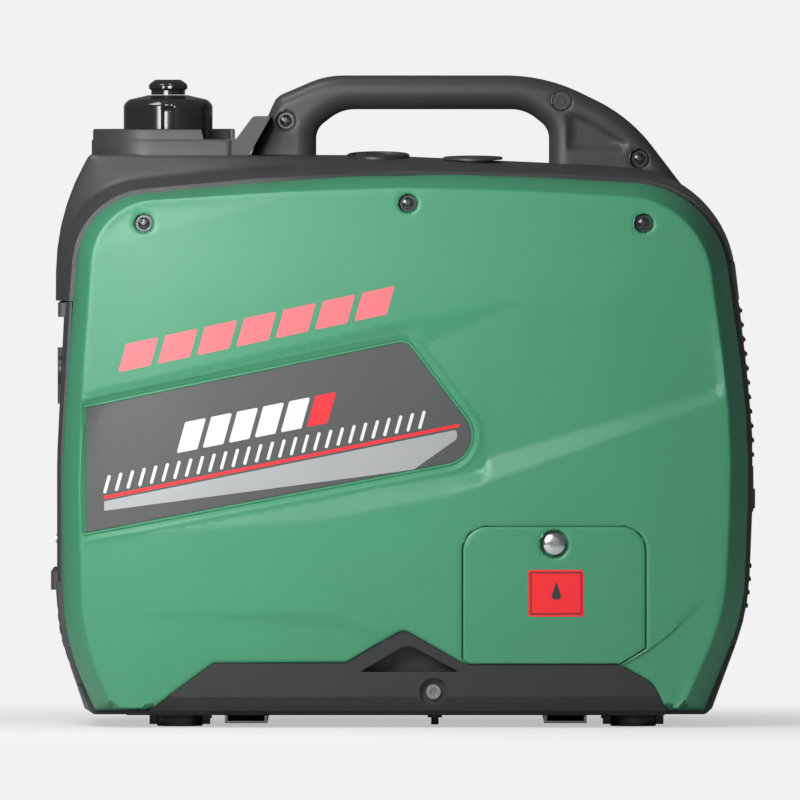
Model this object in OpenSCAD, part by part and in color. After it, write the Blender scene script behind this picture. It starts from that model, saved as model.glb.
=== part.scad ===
// Portable inverter generator in its sound-damping case.
// Frame: origin on the ground at the centre of the plan, X from the control end to the
// exhaust end, Y from the oil side to the starter side, Z up.

/* [Overall] */
// Length over the front sill and the exhaust outlet
length = 498; // [490:1:600]
// Width over the two side panels
width = 290; // [284:1:350]
// Height from the feet to the top of the handle
height = 459; // [450:1:560]

/* [Case] */
// Wall of every moulded shell
wall = 3; // [2:0.5:4]
// Depth of each side panel, from its seam to its face
panel_depth = 37; // [30:1:44]
// Gap left between neighbouring shells
seam_gap = 0.6; // [0.3:0.1:1]
// Width of the dished rim round a panel's front edge
rim_front = 14; // [10:1:18]
// Width of the dished rim round a panel's rear edge
rim_rear = 18; // [12:1:22]

/* [Handle] */
// Thickness of the handle across the case
handle_w = 38; // [32:1:48]
// Height of the grip bar
grip_h = 24; // [20:1:30]

/* [Fuel cap] */
// Diameter of the cap's skirt
cap_d = 63; // [56:1:72]
// Bore of the filler neck
neck_bore = 40; // [34:1:44]
// Diameter of the vent knob
knob_d = 28; // [22:1:32]

/* [Doors] */
// Width of the oil door
oil_door_w = 130; // [110:1:134]
// Height of the oil door
oil_door_h = 98; // [84:1:104]
// Gap round a door
door_gap = 0.8; // [0.5:0.1:1.5]
// Width of the air filter door
filter_door_w = 100; // [84:1:110]
// Height of the air filter door
filter_door_h = 88; // [74:1:92]

/* [Controls] */
// Diameter of a mains socket's recess
socket_bore = 39; // [38:0.5:42]
// Depth of a mains socket's recess
socket_depth = 16; // [14:1:18]
// Diameter of the run knob
run_knob_d = 42; // [34:1:46]
// Diameter of the earth stud
earth_stud_d = 6; // [5:1:8]

/* [Running gear] */
// Diameter of the crankshaft's main journal
shaft_d = 24; // [20:1:28]
// Diameter of a rubber foot
foot_d = 32; // [26:1:38]
// Inner diameter of the exhaust outlet
tail_bore = 24; // [20:1:28]

/* [Hidden] */

$fn = 48;
arc_step = 7;     // largest turn of one facet of a rounded corner, in degrees
eps = 0.01;

green = "#4a9a72";
dark_grey = "#4a4a4a";
black = "#1c1c1c";
alloy = "#a8a8a8";
steel = "#c4c4c4";
iron = "#5a5a5a";
red = "#e03038";

hl = length / 2;
hw = width / 2;
seam_y = hw - panel_depth;          // where a side panel meets the middle shells
core_y = seam_y - 46;               // half width of the level part of the case's top
face_y = hw - 2;                    // a panel's face at the edge of its crown
tray_z = 8;                         // underside of the base tray
base_z = 11.4;                      // lower edge of the panels and end shells
floor_z = base_z + wall;
deck_z = height - 58;               // top of the case below the handle
front_split = [29.7, height - 159.4];   // ends of the front bezel
rear_split = [55.8, height - 131.2];    // ends of the rear grille
crank_at = [hl - 169, 128];         // the crank's axis, which lies along Y
case_y = [-72, -4];                 // the crankcase across the machine
nipple_at = [crank_at.x - 58, case_y[0] - 6];

// ---------- outlines: each vertex is [x, z, corner radius], counter-clockwise ----------
function unit(v) = v / norm(v);
function at(list, i) = list[(i + len(list)) % len(list)];
function xy(v) = [v.x, v.y];
function corner(p, v, n) =
    let (
        a = unit(xy(p) - xy(v)),
        b = unit(xy(n) - xy(v)),
        half = acos(max(-1, min(1, a * b))) / 2,
        r = max(v[2], eps),
        c = xy(v) + unit(a + b) * r / sin(half),
        s = xy(v) + a * r / tan(half) - c,
        e = xy(v) + b * r / tan(half) - c,
        start = atan2(s.y, s.x),
        sweep = (atan2(e.y, e.x) - start + 540) % 360 - 180,
        steps = max(1, ceil(abs(sweep) / max(arc_step, 36 / r)))
    )
    v[2] < 0.3 ? [xy(v)]
    : [for (i = [0:steps]) let (turn = start + sweep * i / steps) c + r * [cos(turn), sin(turn)]];
function rounded(list) =
    [for (i = [0:len(list) - 1]) each corner(at(list, i - 1), list[i], at(list, i + 1))];
function left_of(d) = [-d.y, d.x];
// The same outline moved inwards by d, or outwards where d is negative.
function inset(list, d) = [
    for (i = [0:len(list) - 1])
        let (
            before = unit(xy(list[i]) - xy(at(list, i - 1))),
            after = unit(xy(at(list, i + 1)) - xy(list[i])),
            n1 = left_of(before),
            n2 = left_of(after),
            bend = before.x * after.y - before.y * after.x > 0 ? 1 : -1
        )
        [each (xy(list[i]) + d * (n1 + n2) / (1 + n1 * n2)), max(list[i][2] - bend * d, eps)]
];

// A side panel's edge, with its front, rear and top edges moved in by f, r and t.
function panel_edge(f = 0, r = 0, t = 0, b = 0) = [
    [-hl + 31 + f, base_z + b, 1],
    [hl - 37 - r, base_z + b, 1],
    [hl - 9 - r, 80, 150],
    [hl - 4 - r, 205, 600],
    [hl - 28 - r, height - 79 - t, 70 - (r + t) / 2],
    [0, height - 66 - t, 1400],
    [-hl + 22 + f, height - 87 - t, 52 - (f + t) / 2],
    [-hl + 5 + f, 170, 1200],
    [-hl + 10 + f, 58, 160],
];
// The case's silhouette without its handle and collar.
case_edge = [
    [-hl + 23.5, base_z, 1],
    [hl - 31, base_z, 1],
    [hl - 5.5, 80, 150],
    [hl - 0.5, 205, 600],
    [hl - 22, height - 71, 80],
    [hl - 189, deck_z + 1, 2000],
    [-hl + 27, deck_z + 2.5, 4],
    [-hl + 3.5, height - 97.3, 160],
    [-hl + 1.5, 118, 100],
    [-hl + 5.5, 64, 90],
];
handle_edge = [
    [-hl + 137, deck_z - 6, 1],
    [hl - 50, height - 80, 1],
    [hl - 89, height - 29, 110],
    [hl - 149, height, 120],
    [-hl + 194, height, 60],
    [-hl + 159, height - 15, 12],
];
window_top = height - grip_h;
handle_window = [
    [-hl + 187, deck_z - 5, 1],
    [hl - 146, deck_z - 5, 1],
    [hl - 146, window_top - 13.8, 14],
    [hl - 163, window_top, 28],
    [-hl + 205, window_top, 28],
    [-hl + 187, window_top - 13.8, 14],
];
skirt_edge = [
    [-hl + 68, base_z - 1, 0.1],
    [hl - 63, base_z - 1, 0.1],
    [hl - 74, 31, 14],
    [hl - 97, 44, 4],
    [46, 44, 1],
    [40, 46, 4],
    [0, 69, 8],
    [-40, 45, 4],
    [-hl + 115, 45, 2],
];
badge_edge = [
    [-hl + 25, 137, 0.5],
    [63, 192, 20],
    [2, 272, 9],
    [-hl + 25, 225, 0.5],
];

// An outline in the XZ plane made solid between two places along Y.
module side_slab(list, y0, y1) {
    translate([0, y1, 0]) rotate([90, 0, 0]) linear_extrude(y1 - y0) polygon(rounded(list));
}
module span(a, b) { translate(a) cube(b - a); }
// A cylinder along Y, from y0 to y1 at [x, z].
module bar_y(p, y0, y1, r) {
    translate([p.x, y0, p.y]) rotate([-90, 0, 0]) cylinder(r = r, h = y1 - y0);
}
// A cylinder along X, from x0 to x1 at [y, z].
module bar_x(p, x0, x1, r) {
    translate([x0, p.x, p.y]) rotate([0, 90, 0]) cylinder(r = r, h = x1 - x0);
}
module bar_z(p, z0, z1, r) { translate([p.x, p.y, z0]) cylinder(r = r, h = z1 - z0); }
module soft_box(a, b, r) {
    translate([a.x, a.y, a.z]) linear_extrude(b.z - a.z)
        polygon(rounded([[0, 0, r], [b.x - a.x, 0, r], [b.x - a.x, b.y - a.y, r], [0, b.y - a.y, r]]));
}
// The same along Y, so that the rounded corners show from the side.
module soft_box_y(a, b, r) {
    side_slab([[a.x, a.z, r], [b.x, a.z, r], [b.x, b.z, r], [a.x, b.z, r]], a.y, b.y);
}
module soft_box_x(a, b, r) {
    translate([a.x, 0, 0]) rotate([90, 0, 90]) linear_extrude(b.x - a.x)
        polygon(rounded([[a.y, a.z, r], [b.y, a.z, r], [b.y, b.z, r], [a.y, b.z, r]]));
}

// ---------- screws ----------
panel_screw_at = [[-hl + 66, height - 104], [3, height - 90], [hl - 80, height - 104]];
handle_screw_at = [[-hl + 165.5, height - 32], [hl - 82, height - 59]];
boss_cap_at = [hl - 137, height - 18];
base_screw_at = [21, 25];
screw_well_r = 7;
screw_well_d = 7;
post_y = face_y - screw_well_d - 3.1;      // end of the post behind a panel screw
// A screw along +Y whose head's outer face is at y.
module screw(p, y, head_r, shank_r, shank_l, drive_r) {
    difference() {
        union() {
            bar_y(p, y - 3, y, head_r);
            bar_y(p, y - 3 - shank_l, y - 3 + eps, shank_r);
        }
        bar_y(p, y - 2, y + 1, drive_r);
    }
}
module both_sides() {
    children();
    mirror([0, 1, 0]) children();
}

// ---------- middle shells ----------
rim_edge = inset(panel_edge(), -3);
module case_body(d = 0) {
    hull() {
        side_slab(inset(case_edge, d), -core_y, core_y);
        side_slab(inset(rim_edge, d), -seam_y, seam_y);
    }
}
// The space inside the case's wall, open through both sides.
module case_inside() {
    case_body(wall);
    side_slab(inset(rim_edge, wall), -seam_y - 5, seam_y + 5);
}
module case_loop() {
    difference() {
        case_body();
        case_inside();
    }
}
neck_at = [-hl + 82, 0];
neck_r = neck_bore / 2 + 3;
spark_cover_at = [-hl + 231, -36];
spark_cover_d = 42;
service_plug_at = [-hl + 298, -40];
service_plug_d = 38;
module deck_holes() {
    bar_z(neck_at, deck_z - 30, height, neck_r + 1.5);
    bar_z(spark_cover_at, deck_z - 30, height, spark_cover_d / 2 - 5);
    bar_z(service_plug_at, deck_z - 30, height, service_plug_d / 2 - 4);
}
module handle_shell() {
    difference() {
        side_slab(handle_edge, -handle_w / 2, handle_w / 2);
        side_slab(handle_window, -handle_w, handle_w);
        difference() {
            side_slab(inset(handle_edge, wall), -handle_w / 2 + wall, handle_w / 2 - wall);
            side_slab(inset(handle_window, -wall), -handle_w, handle_w);
            for (p = concat(handle_screw_at, [boss_cap_at]))
                bar_y(p, -handle_w, handle_w, screw_well_r + 2);
        }
    }
}
module top_shells() {
    difference() {
        union() {
            intersection() {
                case_loop();
                union() {
                    span([-length, -width, front_split[1] + seam_gap / 2], [0, width, height]);
                    span([-eps, -width, rear_split[1] + seam_gap / 2], [length, width, height]);
                }
            }
            difference() {
                handle_shell();
                case_inside();
            }
            both_sides() for (p = panel_screw_at) bar_y(p, seam_y - 12, post_y, 6);
            intersection() {
                case_body(1);
                both_sides() for (p = panel_screw_at)
                    span([p.x - 2, seam_y - 12, p.y], [p.x + 2, seam_y - 2, p.y + 40]);
            }
        }
        both_sides() for (p = panel_screw_at) bar_y(p, seam_y, width, 2.6);
        deck_holes();
        both_sides() for (p = handle_screw_at)
            bar_y(p, handle_w / 2 - screw_well_d, width, screw_well_r);
        for (p = handle_screw_at) bar_y(p, -handle_w, handle_w, 2.6);
        both_sides() bar_y(boss_cap_at, handle_w / 2 - 3, width, screw_well_r);
    }
}
module top_shell_oil_side() {
    color(dark_grey) intersection() {
        top_shells();
        span([-length, -width, 0], [length, 0, 2 * height]);
    }
}
module top_shell_starter_side() {
    color(dark_grey) intersection() {
        top_shells();
        span([-length, 0, 0], [length, width, 2 * height]);
    }
}

// ---------- collar round the fuel cap ----------
collar_z = [deck_z + 3, height - 38];
collar_y = 62;
cup_floor = collar_z[0] + 3;
cap_seat_z = height - 45;
module collar_plan(d, z0, z1) {
    x0 = neck_at.x - 54 + d;
    x1 = -hl + 130 - d;
    translate([0, 0, z0]) linear_extrude(z1 - z0)
        polygon(rounded([
            [x0, -collar_y + d, 42 - d], [x1, -collar_y + d, 6],
            [x1, collar_y - d, 6], [x0, collar_y - d, 42 - d],
        ]));
}
module filler_collar() {
    color(dark_grey) difference() {
        union() {
            collar_plan(0, collar_z[0], collar_z[1]);
            // ramp that leans on the handle's front arm
            side_slab([
                [-hl + 124, collar_z[0], 0.1], [-hl + 138, collar_z[0], 0.1],
                [-hl + 151.5, height - 29, 0.1], [-hl + 143, height - 29, 3],
                [-hl + 136, collar_z[1], 3],
            ], -collar_y + 14, collar_y - 14);
        }
        difference() {
            collar_plan(wall, cup_floor, height);
            span([-hl + 126, -width, 0], [0, width, height]);
        }
        bar_z(neck_at, 0, height, neck_r + 1.5);
        // finger notch beside the cap
        span([neck_at.x + 25, -width, cap_seat_z], [-hl + 128, -collar_y + wall + 1, height]);
        // clearance for the handle's arm
        side_slab(inset(handle_edge, -seam_gap / 2), -handle_w / 2 - 0.5, handle_w / 2 + 0.5);
    }
}

// ---------- front ----------
plate_x = -hl + 18;              // face of the control plate
plate_t = 3;
plate_gap = 0.3;
plate_y = 88;
plate_z = [front_split[1] - 184, front_split[1] - 14];
sill_z = [96, 109];
rib_pitch_front = 9.3;
// Front wall beside the control plate. It leans back towards its upper edge, and its
// sides fall away to meet the panels.
function bezel_edge(low, high, more) = [
    [-hl + low, sill_z[0] - more, 0.1],
    [-hl + 40, sill_z[0] - more, 0.1],
    [-hl + 40, front_split[1] - seam_gap / 2 + more, 0.1],
    [-hl + high, front_split[1] - seam_gap / 2 + more, 0.1],
    [-hl + low, 190, 300],
];
module bezel_shell(d = 0, more = 0) {
    hull() {
        side_slab(bezel_edge(4.3 + d, 9.7 + d, more), -plate_y - 4, plate_y + 4);
        side_slab(bezel_edge(7 + d, 13.5 + d, more), -seam_y - more, seam_y + more);
    }
}
module front_bezel() {
    front_ribs = [for (i = [0:4]) 85 - rib_pitch_front * i];
    color(dark_grey) difference() {
        union() {
            intersection() {
                case_loop();
                span([-length, -width, front_split[0] + seam_gap / 2], [-hl + 60, width, sill_z[0] + 6]);
            }
            difference() {
                bezel_shell();
                bezel_shell(wall, 5);
            }
            span([-hl + 10, -plate_y - 4, plate_z[0] - 4],
                 [plate_x + plate_t, plate_y + 4, plate_z[1] + 4]);
            // brow over the control recess, and the sill below it
            soft_box([-hl + 5, -seam_y + 12, front_split[1] - 11],
                     [-hl + 15, seam_y - 12, front_split[1] - 1], 3);
            soft_box([-hl, -seam_y + 12, sill_z[0]], [-hl + 12, seam_y - 12, sill_z[1]], 3);
        }
        span([-length, -plate_y, plate_z[0]], [0, plate_y, plate_z[1]]);
        // inlet slots between the lower ribs
        for (z = front_ribs)
            span([-length, -plate_y + 14, z - rib_pitch_front + 3], [-hl + 30, plate_y - 14, z - 2]);
    }
}
module plate_hole(p, r) { bar_x(p, plate_x - 5, plate_x + plate_t + 5, r); }
socket_at = [[46, plate_z[0] + 48], [-16, plate_z[0] + 48]];
dc_at = [-66, plate_z[0] + 52];
run_at = [56, plate_z[1] - 40];
choke_at = [8, plate_z[1] - 36];
eco_at = [-30, plate_z[1] - 34];
breaker_at = [[-66, plate_z[0] + 92], [-24, plate_z[0] + 96]];
lamp_at = [for (i = [0:2]) [-66, plate_z[1] - 20 - 13 * i]];
earth_at = [-66, plate_z[0] + 16];
stem_r = 4;
eco_tilt = 7;                       // the rocker's lean in either of its two positions
module control_plate() {
    color(black) difference() {
        span([plate_x, -plate_y + plate_gap, plate_z[0] + plate_gap],
             [plate_x + plate_t, plate_y - plate_gap, plate_z[1] - plate_gap]);
        for (p = socket_at) plate_hole(p, socket_bore / 2 + 3.2);
        plate_hole(dc_at, 13.2);
        for (p = [run_at, choke_at]) plate_hole(p, stem_r + 0.4);
        for (p = breaker_at) plate_hole(p, 5.2);
        for (p = lamp_at) plate_hole(p, 3.2);
        plate_hole(earth_at, earth_stud_d / 2 + 0.2);
        span([plate_x - 5, eco_at.x - 7.2, eco_at.y - 10.7],
             [plate_x + 10, eco_at.x + 7.2, eco_at.y + 10.7]);
    }
}
socket_half = 27;
module mains_sockets() {
    color("#30343a") for (p = socket_at) difference() {
        union() {
            soft_box_x([plate_x - 4, p.x - socket_half, p.y - socket_half],
                       [plate_x, p.x + socket_half, p.y + socket_half], 5);
            bar_x(p, plate_x - 1, plate_x - 4 + socket_depth + 4, socket_bore / 2 + 3);
        }
        bar_x(p, plate_x - 5, plate_x - 4 + socket_depth, socket_bore / 2);
        for (s = [-9.5, 9.5]) bar_x([p.x + s, p.y], plate_x, plate_x - 4 + socket_depth + 3, 2.5);
    }
}
// Sprung lid over a mains socket. Its hinge pin lies along its upper edge.
lid_pin = [plate_x - 7.5, socket_half + 1.5];       // x, and z above the socket's centre
module socket_lid(p) {
    color("#3a4048") {
        soft_box_x([plate_x - 9.5, p.x - socket_half + 1, p.y - socket_half],
                   [plate_x - 4.6, p.x + socket_half - 1, p.y + socket_half - 1.5], 4);
        for (s = [-1, 1]) translate([0, p.x + s * 15 - 5, 0])
            span([lid_pin.x - 1.2, 0, p.y + socket_half - 2.5],
                 [lid_pin.x + 1.2, 10, p.y + lid_pin.y]);
        translate([lid_pin.x, p.x - 21, p.y + lid_pin.y]) rotate([-90, 0, 0]) cylinder(r = 1.8, h = 42);
    }
}
module socket_lid_left() { socket_lid(socket_at[0]); }
module socket_lid_right() { socket_lid(socket_at[1]); }
module dc_socket() {
    color(black) difference() {
        union() {
            bar_x(dc_at, plate_x - 3, plate_x, 17);
            bar_x(dc_at, plate_x - 1, plate_x + 26, 13);
        }
        bar_x(dc_at, plate_x - 5, plate_x + 22, 10.5);
    }
}
module eco_switch() {
    color(black) translate([plate_x + 1, eco_at.x, eco_at.y]) rotate([90, eco_tilt, 0])
        linear_extrude(13.6, center = true)
        polygon([[-5, -9.6], [-3, 0], [-5, 9.6], [5, 7], [9, 0], [5, -7]]);
}
// Reset button of a breaker, flush with its bush while the breaker is closed.
module breaker(p) { bar_x(p, plate_x - 4, plate_x + plate_t + 8, 5); }
module mains_breaker() { color(red) breaker(breaker_at[1]); }
module dc_breaker() { color(black) breaker(breaker_at[0]); }
module indicator_lamps() {
    for (i = [0:2]) color(["#30c050", "#e0a020", "#e03030"][i])
        bar_x(lamp_at[i], plate_x - 1.5, plate_x + plate_t + 4, 3);
}
module run_knob() {
    color(black) {
        bar_x(run_at, plate_x - 4, plate_x - 0.4, run_knob_d / 2);
        translate([plate_x - 15, run_at.x - 5, run_at.y - run_knob_d / 2 + 1])
            cube([12, 10, run_knob_d - 2]);
        bar_x(run_at, plate_x - 1, plate_x + plate_t + 14, stem_r);
    }
}
module choke_knob() {
    color(black) {
        bar_x(choke_at, plate_x - 14, plate_x - 8, 10);
        bar_x(choke_at, plate_x - 9, plate_x - 0.4, 6.5);
        bar_x(choke_at, plate_x - 1, plate_x + plate_t + 16, stem_r);
    }
}
module earth_stud() {
    color(steel) {
        bar_x(earth_at, plate_x - 15, plate_x + plate_t + 6, earth_stud_d / 2);
        bar_x(earth_at, plate_x + plate_t, plate_x + plate_t + 6, earth_stud_d / 2 + 2);
    }
}
module earth_nut() {
    color(steel) difference() {
        union() {
            bar_x(earth_at, plate_x - 7, plate_x - 0.4, earth_stud_d / 2 + 2);
            span([plate_x - 9, earth_at.x - 12, earth_at.y - 1],
                 [plate_x - 3, earth_at.x + 12, earth_at.y + 1]);
        }
        bar_x(earth_at, plate_x - 20, plate_x + 1, earth_stud_d / 2 + fit_gap);
    }
}

// ---------- rear ----------
tail_at = [-10, 166];
tail_r = tail_bore / 2 + 2;
flange_r = 16.2;
rib_pitch_rear = 10.2;
upper_ribs = [for (i = [0:10]) 191 + rib_pitch_rear * i];
lower_ribs = [for (i = [0:3]) 84.3 + 9.4 * i];
grille_y = 86;
module rear_grille() {
    color(dark_grey) difference() {
        union() {
            intersection() {
                case_loop();
                span([hl - 60, -width, rear_split[0] + seam_gap / 2],
                     [length, width, rear_split[1] - seam_gap / 2]);
            }
            intersection() {
                union() for (z = concat(upper_ribs, lower_ribs))
                    span([hl - 60, -grille_y, z - 1.2], [length, grille_y, z + 1.2]);
                difference() {
                    side_slab(inset(case_edge, -0.9), -grille_y, grille_y);
                    case_inside();
                }
            }
            bar_x(tail_at, hl - 12, hl - 1.2, flange_r);
        }
        for (z = upper_ribs) if (z + rib_pitch_rear < rear_split[1] - 12)
            span([hl - 40, -grille_y + 4, z + 2.4], [length, grille_y - 4, z + rib_pitch_rear - 2.4]);
        for (z = lower_ribs)
            span([hl - 40, -grille_y + 4, z - 7], [length, grille_y - 4, z - 2.2]);
        bar_x(tail_at, hl - 60, length, tail_r + 1);
    }
}
muffler_x = [hl - 101, hl - 24];
lip_l = 1.5;
module spark_arrester() {
    color(iron) {
        difference() {
            bar_x(tail_at, muffler_x[1], hl - lip_l, tail_r);
            bar_x(tail_at, muffler_x[1] - 1, length, tail_bore / 2);
        }
        // rain lip round the lower half of the outlet
        difference() {
            bar_x(tail_at, hl - lip_l, hl, tail_r);
            bar_x(tail_at, hl - 3, length, tail_bore / 2 + 0.5);
            span([hl - 3, -width, tail_at.y], [length, width, height]);
        }
    }
}

// ---------- base ----------
foot_x = [-hl + 91, hl - 87];
foot_y = seam_y - 14;
rail_x = [-hl + 138, hl - 135];
rail_w = 30;
skirt_y = hw - 4;
pocket = [-25, 38, 39, 59];     // x0, x1, z0, z1
module pocket_shape(d, y0, y1) {
    side_slab([
        [pocket[0] - 6 - d, pocket[2] - d, 0.5], [pocket[1] + 1 + d, pocket[2] - d, 0.5],
        [3, pocket[3] + d, 12],
    ], y0, y1);
}
module base_tray() {
    color(dark_grey) difference() {
        union() {
            intersection() {
                case_loop();
                union() {
                    span([-length, -width, 0], [0, width, front_split[0] - seam_gap / 2]);
                    span([-eps, -width, 0], [length, width, rear_split[0] - seam_gap / 2]);
                }
            }
            span([-hl + 53.5, -seam_y - 10, tray_z], [hl - 65, seam_y + 10, base_z]);
            // side skirts, which the panels are cut round
            intersection() {
                side_slab(skirt_edge, -width, width);
                along_case() skirt_profiles();
            }
            intersection() {
                both_sides() bar_y(base_screw_at, skirt_y - 16, hw, 12.5);
                along_case() skirt_profiles(true);
            }
            intersection() {
                both_sides() pocket_shape(2, skirt_y - 18, skirt_y - 1);
                side_slab(inset(skirt_edge, 0.2), -width, width);
            }
        }
        both_sides() pocket_shape(0, skirt_y - 16, hw + 5);
        both_sides() {
            bar_y(base_screw_at, skirt_y - 5, hw + 5, 9.8);
            bar_y(base_screw_at, skirt_y - 30, hw + 5, 3.2);
        }
        for (x = foot_x) for (s = [-1, 1]) bar_z([x, s * foot_y], 0, floor_z + 5, 4.2);
        bar_z(nipple_at, 0, floor_z + 5, 5.3);
    }
}
// Cross-section of the tray's sides; solid where a boss is cut from it.
module skirt_profiles(solid = false) {
    top = 90;
    outer = [[seam_y - 4, base_z], [skirt_y - 9, base_z], [skirt_y, 21.5], [skirt_y, top]];
    inner = [
        [skirt_y - wall, top], [skirt_y - wall, 22.5], [skirt_y - 10.5, floor_z],
        [seam_y - 4, floor_z],
    ];
    whole = concat(outer, solid ? [[seam_y - 4, top]] : inner);
    for (s = [-1, 1]) polygon([for (p = whole) [s * p.x, p.y]]);
}
module along_case() {
    translate([-hl, 0, 0]) rotate([90, 0, 90]) linear_extrude(length) children();
}
module base_screws() {
    color(steel) both_sides() difference() {
        screw(base_screw_at, skirt_y - 2, 5.1, 3, 8, eps);
        translate([base_screw_at.x, skirt_y - 4.5, base_screw_at.y]) rotate([-90, 0, 0])
            cylinder(r = 2.9, h = 5, $fn = 6);
    }
}
module rubber_feet() {
    color(black) for (x = foot_x) for (s = [-1, 1]) translate([x, s * foot_y, 0]) {
        cylinder(r = foot_d / 2, h = tray_z);
        difference() {
            translate([-foot_d / 2 - 5.4, s > 0 ? -14 : 0, 1.2]) cube([foot_d + 10.8, 14, tray_z - 1.2]);
            cylinder(r = foot_d / 2 - 1, h = tray_z + 1);
        }
        cylinder(r = 4, h = floor_z + 4);
        translate([0, 0, floor_z + 0.1]) cylinder(r = 8, h = 4);
    }
}
module base_rails() {
    color(iron) for (x = rail_x) difference() {
        span([x - rail_w / 2, -skirt_y + 12, 2.6], [x + rail_w / 2, skirt_y - 12, tray_z]);
        span([x - rail_w / 2 + 2, -width, 4.2], [x + rail_w / 2 - 2, width, tray_z + 1]);
    }
}
module drain_nipple() {
    color(black) difference() {
        union() {
            bar_z(nipple_at, 0.6, 30, 2.6);
            bar_z(nipple_at, 5.6, floor_z + 4, 5.1);
            bar_z(nipple_at, floor_z + 0.1, floor_z + 4, 8);
        }
        bar_z(nipple_at, 0, 40, 1.4);
    }
}

// ---------- side panels ----------
module panel_body(d = 0) {
    hull() {
        side_slab(panel_edge(d, d, d, d), seam_y + (d > 0 ? -5 : 0.3), seam_y + 8);
        side_slab(panel_edge(rim_front * 0.75 + d, rim_rear * 0.75 + d, 7.5 + d, d),
                  hw - 12, hw - 11 - d);
        side_slab(panel_edge(rim_front + d, rim_rear + d, 10 + d, d), hw - 12, face_y - d);
        side_slab(inset(panel_edge(rim_front + d, rim_rear + d, 10 + d, d), 40),
                  hw - 12, hw - d);
    }
}
oil_door_x = [hl - 78 - oil_door_w, hl - 78];
oil_door_z = [44.2, 44.2 + oil_door_h];
filter_door_x = [50, 50 + filter_door_w];
filter_door_z = [224, 224 + filter_door_h];
module oil_door_shape(d, y0, y1) {
    side_slab(inset([
        [oil_door_x[0] + 5, oil_door_z[0], 0.5], [oil_door_x[1] - 18, oil_door_z[0], 0.5],
        [oil_door_x[1], oil_door_z[0] + 11.3, 1], [oil_door_x[1], oil_door_z[1], 18],
        [oil_door_x[0], oil_door_z[1], 18], [oil_door_x[0], oil_door_z[0] + 3.5, 0.5],
    ], d), y0, y1);
}
module filter_door_shape(d, y0, y1) {
    side_slab(inset([
        [filter_door_x[0], filter_door_z[0], 12], [filter_door_x[1], filter_door_z[0], 12],
        [filter_door_x[1], filter_door_z[1], 18], [filter_door_x[0], filter_door_z[1], 18],
    ], d), y0, y1);
}
// A panel for the side at +Y, with its badge recess, screw wells and skirt cut-out.
module plain_panel() {
    difference() {
        union() {
            difference() {
                panel_body();
                panel_body(wall);
            }
            side_slab(inset(badge_edge, -2), hw - 6, hw - 3);
            intersection() {
                panel_body();
                for (p = panel_screw_at) bar_y(p, face_y - screw_well_d - 3, hw, screw_well_r + 2.5);
            }
        }
        side_slab(inset(skirt_edge, -seam_gap / 2), 0, width);
        side_slab(badge_edge, hw - 3, hw + 5);
        for (p = panel_screw_at) {
            bar_y(p, face_y - screw_well_d, hw + 5, screw_well_r);
            bar_y(p, 0, hw, 2.7);
        }
    }
}
module side_badges() {
    color("#404040") both_sides() side_slab(inset(badge_edge, 0.3), hw - 3, hw - 2.2);
}
module side_panel_oil_side() {
    color(green) mirror([0, 1, 0]) difference() {
        plain_panel();
        oil_door_shape(0, 0, width);
    }
}
// Starter side: grip pocket, cooling slots and the air filter door.
grip_at = [-22, height - 144];
louvre = [hl - 178, hl - 50, 56, 176];      // x0, x1, z0, z1
module side_panel_starter_side() {
    slots = 8;
    pitch = (louvre[3] - louvre[2]) / slots;
    color(green) difference() {
        union() {
            plain_panel();
            intersection() {
                panel_body();
                soft_box_y([grip_at.x - 36, hw - 26, grip_at.y - 22],
                           [grip_at.x + 36, hw - 1, grip_at.y + 22], 12);
            }
        }
        soft_box_y([grip_at.x - 33, hw - 23, grip_at.y - 19],
                   [grip_at.x + 33, hw + 5, grip_at.y + 19], 10);
        bar_y(grip_at, 0, hw, 5);
        filter_door_shape(0, 0, width);
        for (i = [0:slots - 1])
            soft_box_y([louvre[0] + i * 2, hw - 10, louvre[2] + pitch * i + 2.5],
                       [louvre[1], hw + 5, louvre[2] + pitch * (i + 1) - 3.5], 2);
    }
}
door_t = 3;
door_screw_well = 10;
oil_screw_at = [(oil_door_x[0] + oil_door_x[1]) / 2, oil_door_z[1] - 13];
filter_screw_at = [(filter_door_x[0] + filter_door_x[1]) / 2, filter_door_z[1] - 14];
// Outer skin of a panel, down to where its doors seat.
module door_skin() {
    difference() {
        panel_body();
        panel_body(door_t);
    }
}
module door_well(p) {
    difference() {
        bar_y(p, hw - 10, hw - 2, door_screw_well + 2);
        bar_y(p, hw - 7.5, hw + 5, door_screw_well);
    }
}
module oil_door() {
    color(green) mirror([0, 1, 0]) difference() {
        union() {
            intersection() {
                difference() {
                    door_skin();
                    bar_y(oil_screw_at, 0, width, door_screw_well);
                }
                oil_door_shape(door_gap, 0, width);
            }
            intersection() {
                door_well(oil_screw_at);
                oil_door_shape(door_gap, 0, width);
            }
        }
        bar_y(oil_screw_at, 0, hw, 3.2);
    }
}
module filter_door() {
    color(green) difference() {
        union() {
            intersection() {
                difference() {
                    door_skin();
                    bar_y(filter_screw_at, 0, width, door_screw_well);
                }
                filter_door_shape(door_gap, 0, width);
            }
            door_well(filter_screw_at);
        }
        bar_y(filter_screw_at, 0, hw, 3.2);
    }
}
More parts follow.
